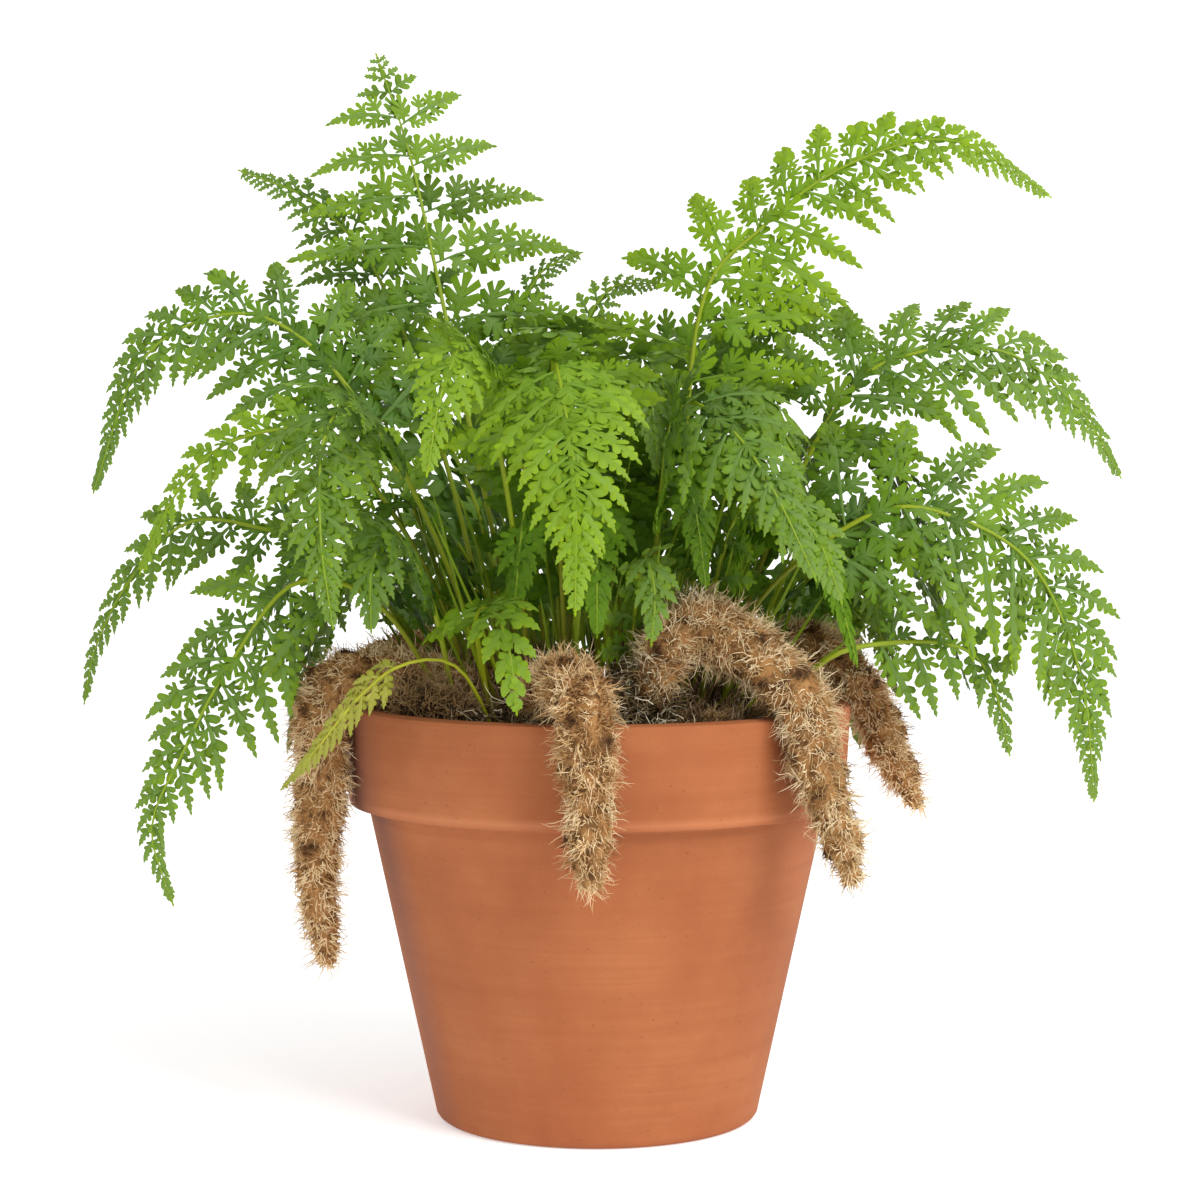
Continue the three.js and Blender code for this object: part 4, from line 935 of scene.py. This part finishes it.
def lay_pinna(frond, draw, root, run, out, up, angle, length, bend, gap, coarse, age, fine):
    """A pinna: a winged rib from the rachis, with pinnules on both sides and a point at its tip."""
    turn = math.radians(bend + REST_BEND)
    bent = out * math.cos(turn) + up * math.sin(turn)
    flat = up * math.cos(turn) - out * math.sin(turn)
    rib = run * math.cos(angle) + bent * math.sin(angle)
    across = run * math.sin(angle) - bent * math.cos(angle)
    hook = draw.uniform(0.0, 0.22)
    twist = draw.uniform(-0.08, 0.08)
    arch = draw.uniform(0.08, 0.26)
    sag = SAG * draw.uniform(0.9, 1.6)
    mood = draw.uniform()

    def line(shares):
        shares = np.asarray(shares, dtype=float)[:, None]
        return (root + rib * length * shares + across * hook * length * shares ** 2
                + flat * twist * length * shares ** 2
                + np.array([0, 0, length]) * (arch * shares - (sag + arch) * shares ** 2))

    middle = line(RIB_STOPS)
    wing = RIB_WING * (0.6 + min(1.0, length / 36) * 0.4) * coarse
    tips = unit(np.diff(line(np.append(RIB_STOPS, 1.0)), axis=0))
    broad = unit(np.cross(flat, tips))
    normal = np.cross(tips, broad)
    sideways, through = broad * wing[:, None], normal * RIB_THICKNESS[:, None]
    rings = np.stack([middle - sideways, middle - through, middle + sideways, middle + through], axis=1)
    young = np.clip(age + 0.45 * RIB_STOPS ** 2, 0, 1)
    marks = np.column_stack([young, np.full(len(young), 0.9), np.full(len(young), 0.5)])
    frond.stem(rings, np.array([root, line([1.0])[0]]), marks, 0)

    lacy = coarse < LACY_CUT
    longest = min(0.4 * length, 0.22 * length + 2.8, 0.95 * gap + 1.8) * (1.06 if lacy else coarse ** 0.4)
    fall_off, step = (0.95, 0.57) if lacy else (0.8, 0.6)
    for upper in (True, False):
        share = 0.05 if upper else 0.1
        first_one = True
        while share < LAST_PINNULE:
            size = max(LEAST_PINNULE, longest * (1 - share) ** fall_off) * draw.uniform(0.9, 1.1)
            if first_one and not upper:
                size *= 0.7
            spread = math.radians((60 if upper else 54) - 22 * share + (8 if upper and first_one else 0)
                                  + draw.uniform(-5, 5))
            first_one = False
            base, ahead = line([share, share + 0.02])
            tangent = unit(ahead - base)
            away = unit(np.cross(flat, tangent))
            if np.dot(away, across) < 0:
                away = -away
            if not upper:
                away = -away
            rise = unit(np.cross(tangent, away))
            if np.dot(rise, flat) < 0:
                rise = -rise
            way = unit(tangent * math.cos(spread) + away * math.sin(spread) + rise * draw.uniform(-0.16, 0.2))
            roll = math.radians(draw.uniform(-22, 22))
            facing = unit(rise - np.dot(rise, way) * way)
            facing = unit(facing * math.cos(roll) + np.cross(way, facing) * math.sin(roll))
            fresh = float(np.clip(age + 0.5 * share ** 1.6, 0, 1))
            chance = 0.55 * mood + 0.45 * draw.uniform()
            width = draw.uniform(0.96, 1.16)
            lobed = size / coarse ** 0.5 * (1.0 if fine else 0.62)
            parted = 0.13 if lacy and lobed < ONE_FINGER else 0.0
            share += ((step + parted) * size + 0.3) / length
            if lobed < ONE_FINGER:
                kind, broader = "finger", (0.85 + 0.35 * coarse) * (1.25 - 0.05 * size)
            elif lobed < THREE_FINGERS:
                kind, broader = "three", 1.0
            elif not upper or share > 0.45:
                kind, broader = "feather", 1.12
            else:
                kind, broader = "fan", 1.08
            frond.pinnule(kind, base, way, facing, size, width * broader, fresh, chance)
            if fine and lobed > FOOT_LOBES:
                wide_way = np.cross(facing, way)
                lobe_turn = math.radians(LOBE_SPLAY)
                for hand in (1, -1):
                    lobe_way = way * math.cos(lobe_turn) + hand * wide_way * math.sin(lobe_turn)
                    lobe_base = base + way * size * (0.1 if hand > 0 else 0.16)
                    frond.pinnule("three", lobe_base, lobe_way, facing, 0.4 * size, 0.95, fresh, chance)
    end, tip = line([POINT_START, 1.0])
    facing = unit(flat - np.dot(flat, unit(tip - end)) * unit(tip - end))
    frond.pinnule("point", end, unit(tip - end), facing, np.linalg.norm(tip - end), 0.9 + 0.4 * coarse,
                  min(1.0, age + 0.5), draw.uniform())


def lay_frond(row, node, draw):
    """A whole frond along its rail, from its foot in the compost to its tip."""
    x, y = row["foot"]
    rail = rail_through([(x, y, compost_height(x, y) - ROOT_DEPTH), *row["way"]])
    length = rail[1][-1]
    blade = length - row["bare"]
    distances, up, leaflets = leaflets_of(row, rail, node)
    frond = Frond()

    steps = np.linspace(0, length, max(12, int(length / 4.5)))
    along = directions_on(rail, steps)
    upward = np.column_stack([np.interp(steps, distances, up[:, axis]) for axis in range(3)])
    upward = unit(upward - (upward * along).sum(axis=1, keepdims=True) * along)
    side = np.cross(along, upward)
    share = np.clip((steps - row["bare"]) / blade, 0, 1)
    radius = STIPE_RADIUS + (RACHIS_TIP_RADIUS - STIPE_RADIUS) * share
    radius = radius * np.where(steps < STIPE_FOOT, FOOT_SWELLING, 1.0) * row["thin"]
    sides = 8 if row["shown"] else 6
    turns = 2 * math.pi * np.arange(sides) / sides
    middle = points_on(rail, steps)
    rings = (middle[:, None] + radius[:, None, None] * (np.cos(turns)[None, :, None] * side[:, None]
                                                        + np.sin(turns)[None, :, None] * upward[:, None]))
    rings = rings[:, ::-1]
    marks = np.column_stack([steps / length, share, np.full(len(steps), draw.uniform())])
    frond.stem(rings, points_on(rail, [0, length]), marks, 1)

    for hand in (1, -1):
        mine = [leaflet for leaflet in leaflets if leaflet[0] == hand]
        left = blade * (1.0 if hand > 0 else 0.94)
        while left > 1.0:
            place = length - left
            share_left = left / blade
            slim = row["slim"]
            full = min(row["wide"] * share_left ** row["taper"], 2.2 + slim * left + slim ** 3 * left ** 2 / 5)
            gap = row["stride"] * full + row["apart"] * min(1.0, 0.5 + left / 60)
            near = min(mine, key=lambda leaflet: abs(leaflet[1] - place - gap / 2))
            reach = max(near[3], 0.8 if row["shown"] else 1.0)
            run = directions_on(rail, [place])[0]
            rise = np.array([np.interp(place, distances, up[:, axis]) for axis in range(3)])
            rise = flattened(rise, run)
            out = np.cross(run, rise) * hand
            angle = math.radians(row["splay"] - SPLAY_FALL * (1 - share_left)
                                 - TIP_CLOSING * (1 - share_left) ** 3 + draw.uniform(-4, 4))
            age = 0.30 * (1 - share_left)
            lay_pinna(frond, draw, points_on(rail, [place])[0], run, out, rise, angle,
                      full * reach * draw.uniform(0.94, 1.04), near[2] + draw.uniform(-8, 8), gap,
                      row["coarse"], age, row["shown"])
            left -= gap * draw.uniform(0.92, 1.08)
    end = points_on(rail, [length - 1.5])[0]
    run = directions_on(rail, [length - 1])[0]
    frond.pinnule("point", end, run, flattened(up[-1], run), 3.5, 1.2, 0.9, 0.5)
    return frond.laid()


# How a frond grows where its row doesn't say otherwise: the angle of its lowest pinnae, the power by which they
# shorten and the least slope of its tip's outline, the gap between pinnae as a share of their length and in
# millimetres, how coarse the pinnules are, and how thick the stem is.
HABIT = dict(splay=72, taper=0.72, slim=0.24, stride=0.31, apart=1.8, coarse=1.0, thin=1.0)
# The fronds that can be told apart: foot, length of bare stipe, longest pinna, which way the blade faces, tint,
# and the places that the stem passes through.
SHOWN_FRONDS = [
    dict(foot=(-20, 8), bare=118, wide=62, splay=100, taper=0.5, slim=0.5, face=(0.1, -1, 0.2), tint="mid",
         way=[(-34, 16, 185), (-49, 25, 252), (-61, 30, 305), (-72, 32, 338)]),
    dict(foot=(16, 4), bare=116, wide=58, splay=80, taper=0.78, slim=0.22, coarse=1.3, stride=0.27, apart=2.0,
         face=(-0.1, -0.95, 0.45), tint="fresh",
         way=[(26, 10, 190), (34, 16, 257), (53, 18, 281), (80, 16, 301), (113, 12, 309), (144, 8, 291)]),
    dict(foot=(-8, -30), bare=100, wide=38, splay=80, slim=0.25, coarse=1.4, stride=0.2, apart=3.4,
         face=(0, -1, 0.5), tint="fresh",
         way=[(-12, -50, 200), (-13, -68, 236), (-9, -92, 221), (-6, -109, 200), (-6, -118, 166)]),
    dict(foot=(36, -20), bare=76, wide=46, slim=0.22, coarse=1.25, stride=0.24, apart=3.2,
         face=(0.3, -1, 0.6), tint="mid",
         way=[(48, -22, 160), (85, -24, 190), (113, -24, 188), (136, -24, 172), (150, -22, 138), (154, -20, 102)]),
    dict(foot=(-38, -22), bare=66, wide=42, slim=0.22, coarse=1.3, stride=0.27, apart=2.8,
         face=(-0.3, -1, 0.5), tint="mid",
         way=[(-64, -34, 160), (-90, -44, 170), (-110, -46, 146), (-125, -46, 118), (-134, -46, 96),
              (-128, -46, 74)]),
    dict(foot=(34, 6), bare=104, wide=42, slim=0.22, coarse=1.3, stride=0.29, apart=2.8,
         face=(0.1, -0.8, 0.8), tint="mid",
         way=[(55, 4, 180), (78, 0, 226), (100, -2, 240), (130, -4, 240), (152, -6, 222), (164, -8, 202)]),
    dict(foot=(-34, 4), bare=108, wide=42, slim=0.18, coarse=1.3, stride=0.3, apart=2.7,
         face=(-0.1, -0.8, 0.8), tint="deep",
         way=[(-56, 6, 185), (-80, 8, 230), (-104, 10, 251), (-127, 10, 251), (-147, 10, 236), (-161, 10, 197)]),
    dict(foot=(-42, 12), bare=80, wide=34, slim=0.19, coarse=1.35, stride=0.3, apart=3.0,
         face=(-0.1, -0.7, 1), tint="mid",
         way=[(-76, 14, 172), (-107, 14, 184), (-132, 15, 186), (-150, 15, 168), (-161, 15, 147), (-165, 15, 129)]),
    dict(foot=(-34, -12), bare=80, wide=38, slim=0.2, coarse=1.35, stride=0.3, apart=3.0,
         face=(-0.2, -0.9, 0.7), tint="fresh",
         way=[(-52, -16, 170), (-82, -20, 212), (-111, -24, 213), (-129, -26, 197), (-140, -28, 173)]),
    dict(foot=(-26, -18), bare=92, wide=36, splay=76, coarse=1.25, stride=0.24, apart=3.0,
         face=(-0.3, -1, 0.4), tint="mid",
         way=[(-48, -34, 180), (-70, -50, 222), (-80, -66, 214), (-80, -80, 186), (-76, -86, 160)]),
    dict(foot=(-18, -24), bare=94, wide=38, splay=76, coarse=1.25, stride=0.24, apart=3.0,
         face=(0, -1, 0.7), tint="fresh",
         way=[(-26, -44, 190), (-36, -70, 240), (-44, -88, 228), (-48, -98, 204)]),
    dict(foot=(14, -22), bare=80, wide=42, splay=76, coarse=1.25, stride=0.24, apart=3.0,
         face=(0.1, -1, 0.5), tint="deep",
         way=[(18, -38, 180), (24, -56, 222), (39, -72, 216), (51, -84, 198), (62, -92, 174)]),
    dict(foot=(50, -22), bare=56, wide=28, slim=0.26, coarse=1.35, stride=0.3, apart=3.0,
         face=(0.1, -1, 0.5), tint="mid",
         way=[(68, -26, 143), (90, -22, 150), (114, -20, 148), (123, -20, 136), (128, -18, 116)]),
    dict(foot=(-30, -34), bare=50, wide=20, slim=0.55, coarse=2.3, apart=5.0, face=(0, -1, 0.4), tint="fresh",
         way=[(-36, -56, 158), (-30, -76, 163), (-25, -88, 152), (-23, -92, 136)]),
    dict(foot=(-26, -46), bare=58, wide=10, splay=60, coarse=1.4, apart=1.8, thin=0.62,
         face=(-0.2, -1, 0.6), tint="yellow",
         way=[(-40, -58, 144), (-56, -64, 147), (-70, -66, 137), (-84, -60, 120), (-94, -52, 109)]),
    dict(foot=(-28, 20), bare=128, wide=44, splay=80, face=(0.2, -1, 0.3), tint="deep",
         way=[(-48, 32, 200), (-70, 40, 262), (-92, 44, 290), (-118, 46, 302)]),
    dict(foot=(0, 14), bare=92, wide=40, splay=80, face=(0, -1, 0.5), tint="mid",
         way=[(-2, 24, 190), (-6, 32, 240), (4, 34, 262), (20, 32, 264)]),
    dict(foot=(-14, 18), bare=96, wide=40, splay=80, face=(0, -1, 0.5), tint="deep",
         way=[(-22, 28, 190), (-28, 36, 240), (-20, 38, 266), (-6, 36, 274)]),
    dict(foot=(26, 22), bare=96, wide=42, splay=76, face=(0.1, -0.9, 0.7), tint="mid",
         way=[(32, 28, 190), (46, 34, 240), (62, 34, 256), (84, 30, 248), (98, 28, 230)]),
    dict(foot=(8, -32), bare=34, wide=26, coarse=1.6, slim=0.45, apart=2.6, face=(0, -1, 0.6), tint="mid",
         way=[(11, -44, 158), (14, -56, 178), (17, -66, 168), (16, -70, 154)]),
    dict(foot=(40, -8), bare=66, wide=24, coarse=1.4, slim=0.35, apart=2.4, face=(0.2, -1, 0.6), tint="mid",
         way=[(58, -8, 168), (74, -10, 188), (84, -12, 180), (88, -13, 154)]),
    dict(foot=(-40, -34), bare=48, wide=28, coarse=1.4, slim=0.32, apart=2.4, face=(-0.2, -1, 0.6), tint="deep",
         way=[(-50, -44, 165), (-60, -58, 186), (-66, -68, 176), (-66, -72, 158)]),
    dict(foot=(30, -30), bare=56, wide=28, coarse=1.4, slim=0.32, apart=2.4, face=(0.2, -1, 0.6), tint="mid",
         way=[(38, -40, 178), (50, -50, 196), (64, -58, 186), (72, -62, 166)]),
]

# The rest of the crown, laid by rule: foot, compass bearing, reach, crest height, fall of the tip, longest
# pinna and tint. Such a frond rises steeply, levels out at its crest and lets its tip fall.
# The dark tint is painted shade: it darkens the low fronds in the crown's middle, under the others.
CROWN_FRONDS = [
    ((0, -12), -90, 52, 196, 40, 32, "dark"), ((12, -10), -66, 50, 206, 36, 32, "dark"),
    ((-10, -14), -112, 40, 200, 42, 32, "dark"), ((24, -10), -35, 66, 190, 44, 32, "dark"),
    ((-25, -3), -164, 62, 192, 46, 32, "dark"), ((44, 4), -6, 74, 178, 44, 32, "deep"),
    ((-44, 0), -176, 68, 176, 40, 32, "deep"), ((6, 2), -75, 48, 238, 34, 34, "mid"),
    ((-8, 0), -100, 46, 246, 34, 34, "mid"), ((26, 10), -36, 50, 226, 44, 32, "mid"),
    ((34, 16), 20, 88, 214, 66, 36, "deep"), ((16, 26), 60, 80, 246, 60, 38, "mid"),
    ((-10, 28), 112, 84, 242, 62, 38, "mid"), ((-24, 28), 152, 84, 226, 60, 36, "deep"),
    ((4, 36), 88, 80, 206, 70, 38, "deep"), ((34, 34), 46, 82, 190, 70, 36, "mid"),
    ((-16, 36), 126, 84, 194, 70, 36, "mid"), ((-38, 46), 152, 78, 172, 66, 34, "deep"),
    ((46, 32), 40, 74, 172, 46, 34, "deep"), ((6, 52), 78, 62, 168, 56, 32, "fresh"),
    ((-8, 54), 104, 60, 164, 56, 32, "mid"), ((42, 46), 46, 72, 160, 54, 30, "mid"),
]


def arched(foot, bearing, reach, crest, fall, wide, tint):
    """A row like those above for a frond that arches over at a crest."""
    turn = math.radians(bearing)
    base = compost_height(*foot)
    rise = crest - base
    stops = ((0.16, base + 0.55 * rise), (0.42, base + 0.95 * rise), (0.66, crest), (0.86, crest - 0.4 * fall),
             (1, crest - fall))
    way = [(foot[0] + math.cos(turn) * reach * s, foot[1] + math.sin(turn) * reach * s, z) for s, z in stops]
    face = (0.35 * math.cos(turn), 0.35 * math.sin(turn), 1)
    return dict(HABIT, foot=foot, bare=0.62 * rise, wide=wide, coarse=1.5, face=face, tint=tint, way=way,
                shown=False)


# Leaf colours: shaded, middling and lit green, the yellower green of young tips, and the pale green of each rib,
# which is also painted sheen on pinnules that face upwards.
LEAF_COLOURS = {
    "fresh": [(58, 106, 1), (96, 142, 2), (130, 170, 6), (170, 198, 8), (150, 180, 74)],
    "mid": [(42, 82, 1), (80, 124, 2), (116, 154, 14), (150, 182, 8), (140, 168, 96)],
    "deep": [(32, 74, 1), (68, 116, 2), (108, 150, 14), (140, 172, 8), (134, 162, 92)],
    # The dark greens are painted shade, for the low fronds in the middle of the crown.
    "dark": [(26, 64, 1), (58, 108, 1), (98, 146, 6), (122, 162, 8), (114, 148, 36)],
    "yellow": [(140, 140, 20), (172, 172, 42), (196, 194, 80), (156, 166, 30), (204, 202, 108)],
}
LEAF_GLOW = 0.38


def leaf_finish(tint):
    """The leaf is greyer along each rib and, as painted sheen, on pinnules that face upwards; it is yellower at its
    tips, and some light shines through it.
    """
    finish, tree, shader = new_finish("leaf_" + tint)
    shaded, middling, lit, young, rib = (paint(*colour) for colour in LEAF_COLOURS[tint])
    youth, ribs_and_sheen, chance = growth_marks(tree)
    patch = cloudy(tree, 55, 3.0)
    shade = scaled(tree, chance, 0.7, worked_out(tree, "MULTIPLY", patch, 0.3))
    green = banded(tree, shade, [(0.26, shaded), (0.5, middling), (0.72, lit)])
    tipped = blended(tree, scaled(tree, youth, 0.95, -0.1), green, young)
    # The real ribs and the painted sheen share the rib colour here.
    ribbed_and_sheened = blended(tree, scaled(tree, ribs_and_sheen, 0.55, 0.0), tipped, rib)
    painted(tree, shader, ribbed_and_sheened, 0.5, 0.22)
    glow = tree.nodes.new("ShaderNodeBsdfTranslucent")
    tree.links.new(blended(tree, 0.5, ribbed_and_sheened, young), glow.inputs["Color"])
    both = add_node(tree, "ShaderNodeMixShader", Fac=LEAF_GLOW)
    tree.links.new(shader.outputs["BSDF"], both.inputs[1])
    tree.links.new(glow.outputs["BSDF"], both.inputs[2])
    tree.links.new(both.outputs["Shader"], tree.nodes["Material Output"].inputs["Surface"])
    return finish


def stem_finish(name, stops):
    """A smooth wiry stem whose colour changes from its foot to its tip."""
    finish, tree, shader = new_finish(name)
    height, _, _ = growth_marks(tree)
    wander = scaled(tree, cloudy(tree, 120, 3.0), 0.3, -0.15)
    painted(tree, shader, banded(tree, worked_out(tree, "ADD", height, wander), stops), 0.45, 0.25)
    raised(tree, shader, cloudy(tree, 900, 2.0, 0.6, (1, 1, 0.2)), 0.0002, 0.5)
    return finish


green_stem = stem_finish("stipe", [(0.02, paint(86, 58, 14)), (0.12, paint(122, 120, 12)),
                                   (0.4, paint(132, 148, 16)), (0.8, paint(122, 146, 30))])
yellow_stem = stem_finish("stipe_yellow", [(0.02, paint(110, 110, 10)), (0.3, paint(150, 158, 20)),
                                           (0.7, paint(176, 176, 50))])
leaf_finishes = {tint: leaf_finish(tint) for tint in LEAF_COLOURS}
rows = [{**HABIT, **row, "shown": True} for row in SHOWN_FRONDS] + [arched(*row) for row in CROWN_FRONDS]
for number, row in enumerate(rows, start=1):
    name = "frond_%02d" % number
    draw = np.random.default_rng(1000 + number)
    points, faces, marks, finish_of = lay_frond(row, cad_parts[name], draw)
    stem = yellow_stem if row["tint"] == "yellow" else green_stem
    leaf = new_piece(name + "_leaf", points, faces, [leaf_finishes[row["tint"]], stem], marks, finish_of)
    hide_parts(name)
    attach(leaf, "root")

# Bare stipes: the wiry stalks of small fronds lost in the crown and of fronds that have shed their blade. Each
# is a closed three-sided thread that stands in the compost and leans outwards.
BARE_STIPE_COUNT = 130
BARE_STIPE_THICKNESS = 0.72
BARE_STIPE_LENGTHS = (40, 92)
CROWN_RADII = (50, 42.5)

draw = np.random.default_rng(29)
roots = crown_places(BARE_STIPE_COUNT, CROWN_RADII, 1.5, draw)
ways = unit(np.column_stack([roots[:, :2] / 80 + 0.14 * draw.normal(size=(BARE_STIPE_COUNT, 2)),
                             np.ones(BARE_STIPE_COUNT)]))
lengths = draw.uniform(*BARE_STIPE_LENGTHS, size=(BARE_STIPE_COUNT, 1))
tones = draw.uniform(size=(BARE_STIPE_COUNT, 2))
points, faces, marks = threads(wandering(roots, ways, lengths, 7, 0.05, 0.0, draw), BARE_STIPE_THICKNESS, tones)
bare = new_piece("bare_stipes", points, faces, [green_stem], marks, smooth_angle=80)
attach(bare, "root")
